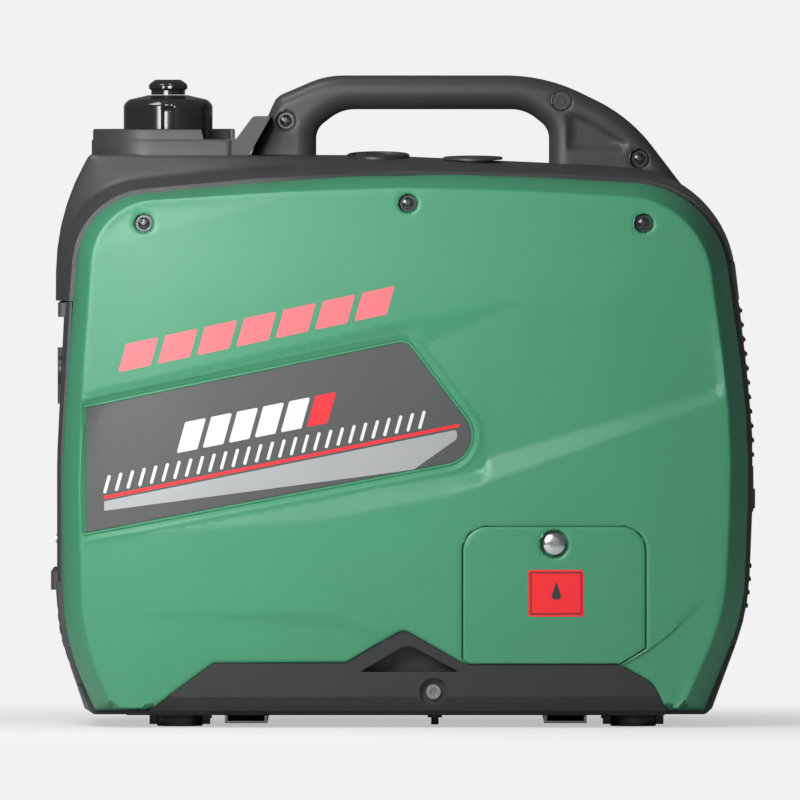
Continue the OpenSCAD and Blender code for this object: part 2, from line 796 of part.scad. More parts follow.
// Coin-slotted quarter-turn screw with a cross lug behind its door.
module quarter_turn(p) {
    difference() {
        bar_y(p, hw - 7.2, hw - 2.4, 7.6);
        translate([p.x - 10, hw - 4.4, p.y - 1]) cube([20, 10, 2]);
    }
    bar_y(p, hw - 16, hw - 7, 3);
    translate([p.x - 7, hw - 16, p.y - 1.5]) cube([14, 3, 3]);
}
module oil_door_screw() { color(alloy) mirror([0, 1, 0]) quarter_turn(oil_screw_at); }
module filter_door_screw() { color(alloy) quarter_turn(filter_screw_at); }
module panel_screws() {
    color(iron) both_sides() for (p = panel_screw_at)
        screw(p, face_y - screw_well_d + 3.1, 4.4, 2.5, 9, 1.6);
}
module handle_screws() {
    y = handle_w / 2 - screw_well_d + 3.1;
    color(iron) both_sides() for (p = handle_screw_at) difference() {
        screw(p, y, 4.4, 2.4, y - 3.3, 1.6);
        span([-length, -width, 0], [length, 0.2, height]);
    }
}

// ---------- deck ----------
deck_seat = deck_z + 2;              // what plugs into the deck sits on it here
module spark_plug_cover() {
    color(black) {
        bar_z(spark_cover_at, deck_z - 6, deck_seat + 0.3, spark_cover_d / 2 - 5.3);
        difference() {
            bar_z(spark_cover_at, deck_seat, deck_seat + 4, spark_cover_d / 2);
            bar_z(spark_cover_at, deck_seat + 1.3, deck_seat + 6, spark_cover_d / 2 - 5);
        }
    }
}
// Snap-in plugs: one in the deck, and one over the boss on each side of the handle.
module blanking_plugs() {
    color(dark_grey) {
        bar_z(service_plug_at, deck_z - 6, deck_seat + 0.5, service_plug_d / 2 - 4.3);
        bar_z(service_plug_at, deck_seat, deck_seat + 1.2, service_plug_d / 2);
        both_sides() bar_y(boss_cap_at, handle_w / 2 - 2.9, handle_w / 2 - 0.4, screw_well_r - 0.3);
    }
}

// ---------- fuel ----------
tank_z = [height - 169, height - 76];
tank_x = [-hl + 26, -hl + 200];
tank_y = seam_y - 23;
cap_top = height - 14;
cap_stem_r = 8;
cap_stem_z = cap_top - 7;
fit_gap = 0.06;                     // radial clearance of a shaft in its bore
module fuel_tank() {
    color(iron) difference() {
        union() {
            hull() {
                soft_box([tank_x[0] + 6, -tank_y, tank_z[0] + 22],
                         [tank_x[1], tank_y, tank_z[1] - 18], 22);
                soft_box([tank_x[0] + 22, -tank_y + 14, tank_z[0]],
                         [tank_x[1] - 14, tank_y - 14, tank_z[1]], 16);
            }
            bar_z(neck_at, tank_z[1] - 4, cap_seat_z, neck_r);
        }
        hull() {
            soft_box([tank_x[0] + 8, -tank_y + 2, tank_z[0] + 23],
                     [tank_x[1] - 2, tank_y - 2, tank_z[1] - 19], 20);
            soft_box([tank_x[0] + 24, -tank_y + 16, tank_z[0] + 2],
                     [tank_x[1] - 16, tank_y - 16, tank_z[1] - 2], 14);
        }
        bar_z(neck_at, tank_z[1] - 10, height, neck_bore / 2);
    }
}
module fuel_strainer() {
    r = neck_bore / 2 - 3;
    color("#e8e8e0") difference() {
        union() {
            bar_z(neck_at, tank_z[1] - 30, cap_seat_z - 9, r);
            bar_z(neck_at, cap_seat_z - 11, cap_seat_z - 9, neck_bore / 2 - 0.2);
        }
        bar_z(neck_at, tank_z[1] - 28, cap_seat_z, r - 1.5);
    }
}
module fuel_cap_plug() {
    color(black) {
        bar_z(neck_at, cap_seat_z - 6, cap_seat_z + 2, neck_bore / 2 - 0.4);
        bar_z(neck_at, cap_seat_z + 0.1, cap_seat_z + 2, neck_r);
        bar_z(neck_at, cap_seat_z + 1, cap_stem_z, cap_stem_r);
    }
}
module fuel_cap() {
    r = cap_d / 2;
    color(black) translate([neck_at.x, neck_at.y, 0]) difference() {
        rotate_extrude() polygon([
            [0, cap_top], [12.5, cap_top], [r - 4, height - 19], [r - 1, height - 22], [r, height - 26],
            [r, cap_seat_z], [r - 3, cap_seat_z], [r - 3, height - 27], [0, height - 27],
        ]);
        for (a = [30:60:330]) rotate(a) translate([r + 7, 0, cap_seat_z - 1]) cylinder(r = 9, h = 25);
        cylinder(r = cap_stem_r + fit_gap, h = cap_stem_z + 0.3);
        translate([0, 0, cap_top - 6]) cylinder(r = knob_stem_r + fit_gap, h = 10);
    }
}
knob_stem_r = 7.8;
module vent_knob() {
    r = knob_d / 2;
    color(black) translate([neck_at.x, neck_at.y, 0]) {
        rotate_extrude() polygon([
            [0, cap_top - 5.7], [knob_stem_r, cap_top - 5.7], [knob_stem_r, cap_top + 0.3],
            [r - 2, cap_top + 0.3], [r - 2, cap_top + 3], [r, cap_top + 3.4], [r, cap_top + 8],
            [r - 4.5, cap_top + 11.5], [0, cap_top + 11.5],
        ]);
    }
}
cock_at = [tank_x[1] - 40, 34];
module fuel_cock() {
    color(alloy) {
        bar_z(cock_at, tank_z[0] - 24, tank_z[0], 5);
        bar_z(cock_at, tank_z[0] - 16, tank_z[0] - 6, 9);
        translate([cock_at.x + 4, cock_at.y, tank_z[0] - 20]) rotate([0, 90, 0]) cylinder(r = 3, h = 12);
    }
}

// ---------- engine ----------
case_half = 52;
cyl_x = [crank_at.x - 30, crank_at.x + 30];
cyl_z = [crank_at.y + 54, crank_at.y + 128];
head_z = cyl_z[1] + 28;
shaft_r = shaft_d / 2;
stator_y = [case_y[1] + 6, case_y[1] + 36];
rotor_y = [stator_y[0] + 2, stator_y[1] + 8];
fan_y = [rotor_y[1] + 1, rotor_y[1] + 20];
reel_y = [fan_y[1] + 5, fan_y[1] + 17];
shroud_y = [case_y[1] + 44, reel_y[1] + 12];
shaft_end = fan_y[1] + 2;
oil_neck_at = [crank_at.x + 20, 84];
oil_neck_y = case_y[0] - 14;
module crankcase() {
    color(alloy) difference() {
        union() {
            soft_box_y([crank_at.x - case_half, case_y[0], floor_z + 22],
                       [crank_at.x + case_half, case_y[1], cyl_z[0]], 16);
            bar_y(crank_at, case_y[1] - 1, case_y[1] + 5, 34);
            bar_y(crank_at, case_y[0] - 6, case_y[0] + 1, 30);
            bar_y(oil_neck_at, oil_neck_y, case_y[0] + 1, 15);
            for (s = [-1, 1]) let (x = crank_at.x + s * 40)
                span([x - 12, case_y[0] - 4, floor_z + 22], [x + 12, case_y[1] + 4, floor_z + 34]);
        }
        bar_y(crank_at, case_y[0] + 6, case_y[1] + 20, shaft_r + fit_gap);
        bar_y(oil_neck_at, oil_neck_y - 1, case_y[0] + 20, 9.2);
    }
}
module cylinder_block() {
    mid = (case_y[0] + case_y[1]) / 2;
    color(alloy) {
        span([cyl_x[0] + 8, mid - 24, cyl_z[0]], [cyl_x[1] - 8, mid + 24, cyl_z[1]]);
        for (z = [cyl_z[0] + 4:9:cyl_z[1] - 5])
            soft_box([cyl_x[0], case_y[0] + 2, z], [cyl_x[1], case_y[1] - 2, z + 2.5], 8);
    }
}
module valve_cover() {
    color(alloy) {
        soft_box([cyl_x[0] + 2, case_y[0] + 4, cyl_z[1]],
                 [cyl_x[1] - 2, case_y[1] - 4, cyl_z[1] + 8], 6);
        soft_box([cyl_x[0] + 8, case_y[0] + 10, cyl_z[1] + 8],
                 [cyl_x[1] - 8, case_y[1] - 10, head_z], 10);
    }
}
module oil_filler_cap() {
    color("#d8b020") {
        bar_y(oil_neck_at, oil_neck_y - 12, oil_neck_y - 0.3, 15);
        translate([oil_neck_at.x - 3, oil_neck_y - 20, oil_neck_at.y - 13]) cube([6, 10, 26]);
        bar_y(oil_neck_at, oil_neck_y - 1, oil_neck_y + 14, 9.1);
    }
}
module crankshaft() {
    color(steel) {
        bar_y(crank_at, case_y[0] + 8, case_y[1] + 5.5, shaft_r);
        bar_y(crank_at, case_y[1] + 5, shaft_end, shaft_r - 3);
    }
}
module about_crank(a) { translate([crank_at.x, 0, crank_at.y]) rotate([0, a, 0]) children(); }
module rotor() {
    color(iron) difference() {
        bar_y(crank_at, rotor_y[0], rotor_y[1], 66);
        bar_y(crank_at, rotor_y[0] - 1, stator_y[1] + 1.5, 59);
        bar_y(crank_at, 0, width, shaft_r - 2.95);
    }
}
module stator() {
    color("#b06a3a") difference() {
        bar_y(crank_at, stator_y[0] - 0.5, stator_y[1], 57);
        bar_y(crank_at, 0, width, 28);
        for (a = [0:30:330]) about_crank(a) span([40, stator_y[0] + 6, -3], [60, stator_y[1] + 1, 3]);
    }
}
fan_r = 80;
module cooling_fan() {
    color(black) difference() {
        union() {
            bar_y(crank_at, fan_y[0], fan_y[0] + 3, fan_r);
            bar_y(crank_at, fan_y[0], fan_y[1], 24);
            for (a = [0:24:336]) about_crank(a + 12) translate([0, fan_y[0] + 1, 0])
                span([44, 0, -1.2], [fan_r - 2, fan_y[1] - fan_y[0] - 1, 1.2]);
        }
        bar_y(crank_at, 0, width, shaft_r - 2.95);
    }
}
shroud_r = 92;
module recoil_housing() {
    color(black) difference() {
        bar_y(crank_at, shroud_y[0], shroud_y[1], shroud_r);
        bar_y(crank_at, shroud_y[0] - 1, shroud_y[1] - 3, shroud_r - 3);
        for (a = [0:30:330]) about_crank(a) span([50, shroud_y[1] - 5, -5], [82, shroud_y[1] + 1, 5]);
        // way out for the rope, and for the cooling air above the cylinder
        translate([crank_at.x - 75, shroud_y[0] - 1, crank_at.y + 30])
            cube([20, shroud_y[1] - shroud_y[0] - 3, 60]);
        bar_y(crank_at, 0, width, 6.2);
    }
}
reel_r = 34;
module recoil_reel() {
    color(black) difference() {
        union() {
            bar_y(crank_at, reel_y[0], reel_y[0] + 2.5, reel_r + 6);
            bar_y(crank_at, reel_y[1] - 2.5, reel_y[1], reel_r + 6);
            bar_y(crank_at, reel_y[0], reel_y[1], reel_r);
            bar_y(crank_at, reel_y[1], shroud_y[1] + 1.5, 6);
        }
        for (a = [0:60:300]) about_crank(a) bar_y([22, 0], 0, width, 5);
    }
}
rope_d = 5;
rope_in = -seam_y + 12;
module recoil_rope() {
    color("#e8e4d8") bar_y(grip_at, rope_in, hw - 12, rope_d / 2);
}
module recoil_grip() {
    color(black) difference() {
        union() {
            soft_box_y([grip_at.x - 30, hw - 14, grip_at.y - 9],
                       [grip_at.x + 30, hw - 1, grip_at.y + 9], 8);
            bar_y(grip_at, hw - 22, hw - 13, 8);
        }
        bar_y(grip_at, 0, hw - 12, rope_d / 2 + 0.05);
        bar_y(grip_at, hw - 12.01, hw - 7, 4);
    }
}
carb_z = cyl_z[1] - 24;
cleaner = [
    crank_at.x - 25, crank_at.x + 65, case_y[1] + 33, hw - 18, crank_at.y + 100, crank_at.y + 178,
];
module carburettor() {
    p = [crank_at.x, carb_z];
    color(alloy) {
        bar_y(p, case_y[1] - 1.9, cleaner[2], 10);
        span([p.x - 16, case_y[1] + 4, p.y - 14], [p.x + 16, case_y[1] + 26, p.y + 14]);
        bar_z([p.x, case_y[1] + 15], p.y - 30, p.y - 13, 11);
    }
}
module air_cleaner() {
    color(black) {
        soft_box_y([cleaner[0], cleaner[2], cleaner[4]],
                   [cleaner[1], cleaner[3] - 6, cleaner[5]], 8);
        soft_box_y([cleaner[0] + 4, cleaner[3] - 6, cleaner[4] + 4],
                   [cleaner[1] - 4, cleaner[3], cleaner[5] - 4], 6);
    }
}
module muffler() {
    color(iron) difference() {
        union() {
            soft_box([muffler_x[0], -62, 120], [muffler_x[1], 30, cyl_z[1] + 20], 18);
            span([cyl_x[1] + 0.1, -54, cyl_z[1] - 40], [muffler_x[0] + 1, -22, cyl_z[1] - 14]);
        }
        soft_box([muffler_x[0] + 2, -60, 122], [muffler_x[1] - 2, 28, cyl_z[1] + 18], 16);
        bar_x(tail_at, muffler_x[1] - 3, muffler_x[1] + 1, tail_bore / 2 - 2);
    }
}
plug_foot = [cyl_x[0] - 2, -38, cyl_z[1] + 8];
plug_lean = 26;
module spark_plug() {
    color("#202020") translate(plug_foot) rotate([0, -plug_lean, 0]) {
        cylinder(r = 7, h = 24);
        translate([0, 0, 20]) cylinder(r = 10, h = 40);
        translate([0, 0, 50]) rotate([0, -90, 0]) cylinder(r = 7, h = 16);
    }
}
mount_at = [for (x = [-40, 40]) for (y = [case_y[0] + 4, case_y[1] - 4]) [crank_at.x + x, y]];
module engine_mounts() {
    color(black) for (p = mount_at) bar_z(p, floor_z, floor_z + 22, 11);
}
inverter_x = [-hl + 30, crank_at.x - 110];
module inverter_unit() {
    y = seam_y - 14;
    color(alloy) {
        span([inverter_x[0], -y, floor_z + 12], [inverter_x[1], y, floor_z + 56]);
        for (i = [0:11]) translate([0, -y + 6 + i * (2 * y - 15) / 11, 0])
            span([inverter_x[0] + 4, 0, floor_z + 56 - eps], [inverter_x[1] - 4, 3, floor_z + 70]);
        for (x = [inverter_x[0] + 12, inverter_x[1] - 12]) for (s = [-1, 1])
            bar_z([x, s * (y - 26)], floor_z, floor_z + 12.1, 8);
    }
}
// Round tube swept along a cubic curve through four control points.
function bezier(p, t) =
    pow(1 - t, 3) * p[0] + 3 * pow(1 - t, 2) * t * p[1] + 3 * (1 - t) * t * t * p[2]
    + t * t * t * p[3];
function tube_ring(p, q, r, n) =
    let (d = unit(q - p), s = unit(cross(d, [0.1, 1, 0.2])), u = cross(s, d))
    [for (i = [0:n - 1]) r * (s * cos(360 * i / n) + u * sin(360 * i / n))];
module swept_tube(p, r, rings = 18, n = 10) {
    spine = [for (i = [0:rings]) bezier(p, i / rings)];
    points = [
        for (i = [0:rings])
            for (o = tube_ring(spine[max(i - 1, 0)], spine[min(i + 1, rings)], r, n)) spine[i] + o
    ];
    faces = [
        [for (i = [0:n - 1]) i],
        for (k = [0:rings - 1]) for (i = [0:n - 1]) let (j = (i + 1) % n)
            [k * n + i, (k + 1) * n + i, (k + 1) * n + j, k * n + j],
        [for (i = [n - 1:-1:0]) rings * n + i],
    ];
    polyhedron(points, faces, convexity = 4);
}
module fuel_hose() {
    a = [cock_at.x + 16.2, cock_at.y, tank_z[0] - 20];
    b = [crank_at.x - 16.2, case_y[1] + 15, carb_z];
    color(black) swept_tube([a, a + [40, 0, 0], b - [50, 0, 0], b], 4);
}

top_shell_oil_side();
top_shell_starter_side();
filler_collar();
front_bezel();
control_plate();
rear_grille();
base_tray();
side_panel_oil_side();
side_panel_starter_side();
side_badges();
oil_door();
oil_door_screw();
filter_door();
filter_door_screw();
spark_plug_cover();
blanking_plugs();
panel_screws();
handle_screws();
base_screws();
rubber_feet();
base_rails();
drain_nipple();
fuel_cap_plug();
fuel_cap();
vent_knob();
fuel_tank();
fuel_strainer();
fuel_cock();
fuel_hose();
crankcase();
cylinder_block();  // cylinder
valve_cover();
oil_filler_cap();
crankshaft();
rotor();
stator();
cooling_fan();
recoil_housing();
recoil_reel();
recoil_rope();
recoil_grip();
carburettor();
air_cleaner();
muffler();
spark_arrester();
spark_plug();
engine_mounts();
inverter_unit();
mains_sockets();
socket_lid_left();
socket_lid_right();
dc_socket();
eco_switch();
mains_breaker();
dc_breaker();
indicator_lamps();
run_knob();
choke_knob();
earth_stud();
earth_nut();
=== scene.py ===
"""Looks for a portable inverter generator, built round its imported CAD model.

X runs from the control end to the exhaust end, Y from the oil side to the starter side, Z up.
Shapes are worked out in millimetres, and shape() turns them into metres.
"""

import math

import bmesh
import bpy
import numpy as np
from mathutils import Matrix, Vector
from mathutils.geometry import delaunay_2d_cdt


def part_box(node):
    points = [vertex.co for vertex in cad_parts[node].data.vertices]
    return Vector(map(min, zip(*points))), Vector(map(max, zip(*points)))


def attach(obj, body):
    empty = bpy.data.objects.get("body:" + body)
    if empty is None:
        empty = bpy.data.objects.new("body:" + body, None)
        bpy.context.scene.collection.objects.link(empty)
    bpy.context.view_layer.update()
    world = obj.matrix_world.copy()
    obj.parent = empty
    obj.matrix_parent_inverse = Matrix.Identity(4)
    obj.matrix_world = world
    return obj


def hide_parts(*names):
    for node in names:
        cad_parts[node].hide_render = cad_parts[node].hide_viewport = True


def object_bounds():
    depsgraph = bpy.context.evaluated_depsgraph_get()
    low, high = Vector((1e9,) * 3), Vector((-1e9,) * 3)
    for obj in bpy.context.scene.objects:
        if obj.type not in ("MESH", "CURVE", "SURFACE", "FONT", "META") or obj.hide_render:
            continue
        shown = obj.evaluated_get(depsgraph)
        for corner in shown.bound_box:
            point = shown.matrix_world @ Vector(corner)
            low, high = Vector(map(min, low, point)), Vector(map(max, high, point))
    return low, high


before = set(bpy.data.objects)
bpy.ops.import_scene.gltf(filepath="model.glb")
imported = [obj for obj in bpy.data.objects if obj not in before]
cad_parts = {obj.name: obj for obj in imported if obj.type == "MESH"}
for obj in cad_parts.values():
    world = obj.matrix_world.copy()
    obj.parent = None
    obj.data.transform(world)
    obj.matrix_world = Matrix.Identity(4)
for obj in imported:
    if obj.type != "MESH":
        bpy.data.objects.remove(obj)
cad_low, cad_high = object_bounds()

# ---------------------------------------------------------------- base tray
# The moulded polypropylene tray that carries the engine. Its sides turn up into a skirt that
# shows below each side panel, with a finger scoop under the chevron.
MM = 0.001
HALF_LENGTH = cad_high.x / MM
HALF_WIDTH = cad_high.y / MM
HEIGHT = cad_high.z / MM


def node_of(material, kind, **inputs):
    """A new shader node of that kind in the material's tree, with its inputs set by name."""
    node = material.node_tree.nodes.new(kind)
    for name, value in inputs.items():
        node.inputs[name.replace("_", " ")].default_value = value
    return node


def finish_of(
    name, colour, rough=0.45, vary=0.10, grain=900.0, bump=0.05, metal=0.0, wear=0.0, coat=0.0
):
    """A procedural finish on Object coordinates: slow colour drift, uneven roughness, fine grain
    and, where wear is set, paler edges from the mesh's pointiness."""
    material = bpy.data.materials.new(name)
    material.use_nodes = True
    link = material.node_tree.links.new
    shader = material.node_tree.nodes["Principled BSDF"]
    shader.inputs["Metallic"].default_value = metal
    shader.inputs["Coat Weight"].default_value = coat
    shader.inputs["Coat Roughness"].default_value = 0.12
    place = material.node_tree.nodes.new("ShaderNodeTexCoord").outputs["Object"]
    drift = node_of(material, "ShaderNodeTexNoise", Scale=11.0, Detail=3.0)
    patch = node_of(material, "ShaderNodeTexNoise", Scale=85.0, Detail=4.0)
    fine = node_of(material, "ShaderNodeTexNoise", Scale=grain, Detail=2.0)
    for noise in (drift, patch, fine):
        link(place, noise.inputs["Vector"])
    tint = material.node_tree.nodes.new("ShaderNodeMix")
    tint.data_type = "RGBA"
    low = [c * (1 - vary) for c in colour[:3]] + [1.0]
    high = [min(1.0, c * (1 + vary)) for c in colour[:3]] + [1.0]
    tint.inputs["A"].default_value = low
    tint.inputs["B"].default_value = high
    link(drift.outputs["Fac"], tint.inputs["Factor"])
    shade = tint.outputs["Result"]
    if wear > 0:
        edge = material.node_tree.nodes.new("ShaderNodeNewGeometry").outputs["Pointiness"]
        reach = node_of(material, "ShaderNodeMapRange")
        reach.inputs["From Min"].default_value = 0.51
        reach.inputs["From Max"].default_value = 0.60
        reach.inputs["To Max"].default_value = wear
        link(edge, reach.inputs["Value"])
        worn = material.node_tree.nodes.new("ShaderNodeMix")
        worn.data_type = "RGBA"
        worn.inputs["B"].default_value = [min(1.0, c * 1.8 + 0.05) for c in colour[:3]] + [1.0]
        link(reach.outputs["Result"], worn.inputs["Factor"])
        link(shade, worn.inputs["A"])
        shade = worn.outputs["Result"]
    link(shade, shader.inputs["Base Color"])
    gloss = node_of(material, "ShaderNodeMapRange")
    gloss.inputs["To Min"].default_value = max(0.05, rough - 0.06)
    gloss.inputs["To Max"].default_value = min(1.0, rough + 0.06)
    link(patch.outputs["Fac"], gloss.inputs["Value"])
    link(gloss.outputs["Result"], shader.inputs["Roughness"])
    relief = node_of(material, "ShaderNodeBump", Strength=bump, Distance=0.0004)
    link(fine.outputs["Fac"], relief.inputs["Height"])
    link(relief.outputs["Normal"], shader.inputs["Normal"])
    return material


def carry(names, material, bevel=0.0):
    """Shows CAD nodes as they are, in one finish, with their edges eased where bevel is set."""
    for name in names:
        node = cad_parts[name]
        node.data.materials.clear()
        node.data.materials.append(material)
        if bevel > 0:
            weld = node.modifiers.new("one surface", "WELD")
            weld.merge_threshold = 0.00001
            ease = node.modifiers.new("eased edges", "BEVEL")
            ease.width = bevel * MM
            ease.segments = 2
            ease.limit_method = "ANGLE"
            ease.angle_limit = math.radians(40)
            ease.harden_normals = False


DARK = finish_of("dark_shell", (0.044, 0.044, 0.046), rough=0.46, grain=1500.0, bump=0.10)
TRAY = finish_of("tray_plastic", (0.022, 0.022, 0.023), rough=0.44, grain=1500.0, bump=0.10)
carry(["base_tray"], TRAY, bevel=0.5)

# ---------------------------------------------------------------- feet, rails and nipple
# Moulded rubber feet pressed into the tray, two folded steel rails under it, and the nipple of
# the carburettor's drain hose.
RUBBER = finish_of("rubber", (0.022, 0.022, 0.022), rough=0.35, grain=700.0, bump=0.06)
RAIL = finish_of("painted_steel", (0.09, 0.09, 0.09), rough=0.4, metal=0.3, wear=0.2)
carry(["rubber_feet"], RUBBER, bevel=0.6)
carry(["drain_nipple"], RUBBER)
carry(["base_rails"], RAIL, bevel=0.2)
BOLT = finish_of("bolt_steel", (0.30, 0.30, 0.30), rough=0.35, metal=0.9, wear=0.3)
carry(["base_screws"], BOLT, bevel=0.2)

# ---------------------------------------------------------------- engine
# A small four-stroke: cast alloy crankcase and finned cylinder, steel crank, iron rotor round a
# wound stator, moulded fan and starter housing, all out of sight behind the panels.
ALLOY = finish_of(
    "cast_alloy", (0.42, 0.43, 0.44), rough=0.5, metal=0.85, grain=420.0, bump=0.35, wear=0.25
)
IRON = finish_of(
    "bare_iron", (0.12, 0.115, 0.11), rough=0.55, metal=0.7, grain=600.0, bump=0.2, wear=0.3
)
STEEL = finish_of("bright_steel", (0.55, 0.55, 0.56), rough=0.28, metal=1.0, grain=1200.0, wear=0.1)
COPPER = finish_of("copper_winding", (0.55, 0.22, 0.09), rough=0.35, metal=0.8, grain=260.0, bump=0.6)
BLACK = finish_of("black_plastic", (0.024, 0.024, 0.025), rough=0.42, grain=1300.0, bump=0.08)
YELLOW = finish_of("yellow_cap", (0.62, 0.40, 0.03), rough=0.4, grain=900.0)
ROPE = finish_of("rope", (0.62, 0.60, 0.54), rough=0.85, grain=450.0, bump=0.9)
HEAT = finish_of(
    "heat_steel", (0.16, 0.13, 0.11), rough=0.5, metal=0.85, grain=300.0, bump=0.2, wear=0.3
)
carry(["crankcase", "cylinder", "valve_cover", "carburettor", "fuel_cock"], ALLOY, bevel=0.4)
carry(["crankshaft"], STEEL)
carry(["rotor"], IRON, bevel=0.4)
carry(["stator"], COPPER)
mouldings = ["cooling_fan", "recoil_housing", "recoil_reel", "air_cleaner"]
carry(mouldings, BLACK, bevel=0.4)
carry(["engine_mounts", "fuel_hose"], RUBBER)
carry(["spark_plug", "recoil_grip"], RUBBER, bevel=0.6)
carry(["oil_filler_cap"], YELLOW, bevel=0.4)
carry(["recoil_rope"], ROPE)
carry(["muffler", "spark_arrester"], HEAT, bevel=0.3)
carry(["inverter_unit"], ALLOY, bevel=0.4)

# ---------------------------------------------------------------- fuel tank
# A steel tank in two pressed halves under the top shell, with a moulded strainer in its neck.
TANK = finish_of("tank_paint", (0.05, 0.05, 0.052), rough=0.35, metal=0.2, wear=0.2)
STRAINER = finish_of("strainer", (0.62, 0.62, 0.58), rough=0.5)
carry(["fuel_tank"], TANK)
carry(["fuel_strainer"], STRAINER)

# ---------------------------------------------------------------- top shells and handle
# Two mirrored mouldings of glass-filled polypropylene, screwed together on the centre line.
# Each is half of the case's top and half of the hollow handle.
CENTRE = (0.0, 200.0)
SEAM_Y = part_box("side_panel_starter_side")[0].y / MM - 0.3
DECK_Z = HEIGHT - 58
BASE_Z = 11.4
SHELL_LOW = [HEIGHT - 159.1, HEIGHT - 130.9]
WALL = 3.0
CAP_FROM_FRONT = 82.0


def rounded(corners, turn=6.0):
    """Outline through corners given as (x, z, radius): each corner is the arc that touches both
    of its sides, cut into steps of that many degrees."""
    corner = np.array(corners, float)
    before = np.roll(corner, 1, 0)[:, :2] - corner[:, :2]
    after = np.roll(corner, -1, 0)[:, :2] - corner[:, :2]
    out = []
    for (x, z, radius), a, b in zip(corner, before, after):
        a = a / np.hypot(*a)
        b = b / np.hypot(*b)
        if radius < 0.3:
            out.append([(x, z)])
            continue
        half = math.acos(np.clip(a @ b, -1, 1)) / 2
        middle = np.array([x, z]) + (a + b) / np.hypot(*(a + b)) * radius / math.sin(half)
        start = np.array([x, z]) + a * radius / math.tan(half) - middle
        end = np.array([x, z]) + b * radius / math.tan(half) - middle
        first = math.atan2(start[1], start[0])
        sweep = (math.atan2(end[1], end[0]) - first + 3 * math.pi) % (2 * math.pi) - math.pi
        steps = max(1, math.ceil(abs(math.degrees(sweep)) / max(turn, 110 / radius)))
        angle = first + sweep * np.linspace(0, 1, steps + 1)
        out.append(middle + radius * np.stack([np.cos(angle), np.sin(angle)], 1))
    return np.concatenate(out)


def inset(corners, gap):
    """The same corners with every side moved inwards by gap, or outwards where it is negative."""
    corner = np.array(corners, float)
    before = corner[:, :2] - np.roll(corner, 1, 0)[:, :2]
    after = np.roll(corner, -1, 0)[:, :2] - corner[:, :2]
    before /= np.hypot(*before.T)[:, None]
    after /= np.hypot(*after.T)[:, None]
    left = np.stack([-before[:, 1], before[:, 0]], 1)
    next_left = np.stack([-after[:, 1], after[:, 0]], 1)
    shift = gap * (left + next_left) / (1 + (left * next_left).sum(1))[:, None]
    bend = np.sign(before[:, 0] * after[:, 1] - before[:, 1] * after[:, 0])
    radius = np.maximum(corner[:, 2] - bend * gap, 0.01)
    return np.column_stack([corner[:, :2] + shift, radius])


def inside(points, loop):
    """Which points lie within a closed outline, by the even-odd rule."""
    hit = np.zeros(len(points), bool)
    px, pz = points.T
    for (ax, az), (bx, bz) in zip(loop, np.roll(loop, -1, 0)):
        if az != bz:
            hit ^= ((az > pz) != (bz > pz)) & (px < (bx - ax) * (pz - az) / (bz - az) + ax)
    return hit


def away(points, line, closed=True):
    """Each point's distance from the nearest stretch of a line."""
    best = np.full(len(points), 1e9)
    ends = np.roll(line, -1, 0) if closed else line[1:]
    for a, b in zip(line, ends):
        run = b - a
        share = np.clip(((points - a) @ run) / max(run @ run, 1e-12), 0, 1)
        gap = points - a - share[:, None] * run
        best = np.minimum(best, (gap * gap).sum(1))
    return np.sqrt(best)


def along(line, step, closed=False):
    """The line cut into stretches no longer than step, keeping its own points."""
    ends = np.roll(line, -1, 0) if closed else line[1:]
    out = []
    for a, b in zip(line, ends):
        count = max(1, math.ceil(np.hypot(*(b - a)) / step))
        out.append(a + (b - a) * np.arange(count)[:, None] / count)
    return np.concatenate(out + ([] if closed else [line[-1:]]))


def sheet_of(outline, holes, loops, lines, height, pitch):
    """A flat outline filled with triangles and lifted: each point is (x, height(x, z), z).
    The triangles follow the outline, its holes, and the loops and lines where the height bends."""
    closed = [along(loop, 3 * pitch, True) for loop in [outline, *holes, *loops]]
    opened = [along(np.array(line, float), 3 * pitch) for line in lines]
    points, edges, start = [], [], 0
    for part, ring in [(loop, True) for loop in closed] + [(line, False) for line in opened]:
        index = np.arange(start, start + len(part))
        pairs = np.stack([index, np.roll(index, -1)], 1)
        edges.append(pairs if ring else pairs[:-1])
        points.append(part)
        start += len(part)
    low = outline.min(0)
    count = np.ceil((outline.max(0) - low) / pitch).astype(int) + 1
    free = np.ones(count + 2, bool)
    for part, ring in [(loop, True) for loop in closed] + [(line, False) for line in opened]:
        cell = np.rint((along(part, pitch / 3, ring) - low) / pitch).astype(int)
        cell = cell[((cell >= 0) & (cell <= count)).all(1)]
        free[cell[:, 0], cell[:, 1]] = False
    grid = np.argwhere(free[:count[0], :count[1]]) * pitch + low
    grid = grid[inside(grid, outline)]
    every = np.concatenate(points + [grid])
    corners = [Vector(p) for p in every.tolist()]
    done = delaunay_2d_cdt(corners, np.concatenate(edges).tolist(), [], 0, 1e-4)
    flat = np.array([tuple(p) for p in done[0]])
    faces = np.array(done[2])
    middle = flat[faces].mean(1)
    keep = inside(middle, outline)
    for hole in holes:
        keep &= ~inside(middle, hole)
    faces = faces[keep]
    used, faces = np.unique(faces, return_inverse=True)
    faces = faces.reshape(-1, 3)
    flat = flat[used]
    return np.column_stack([flat[:, 0], -height(flat), flat[:, 1]]), faces


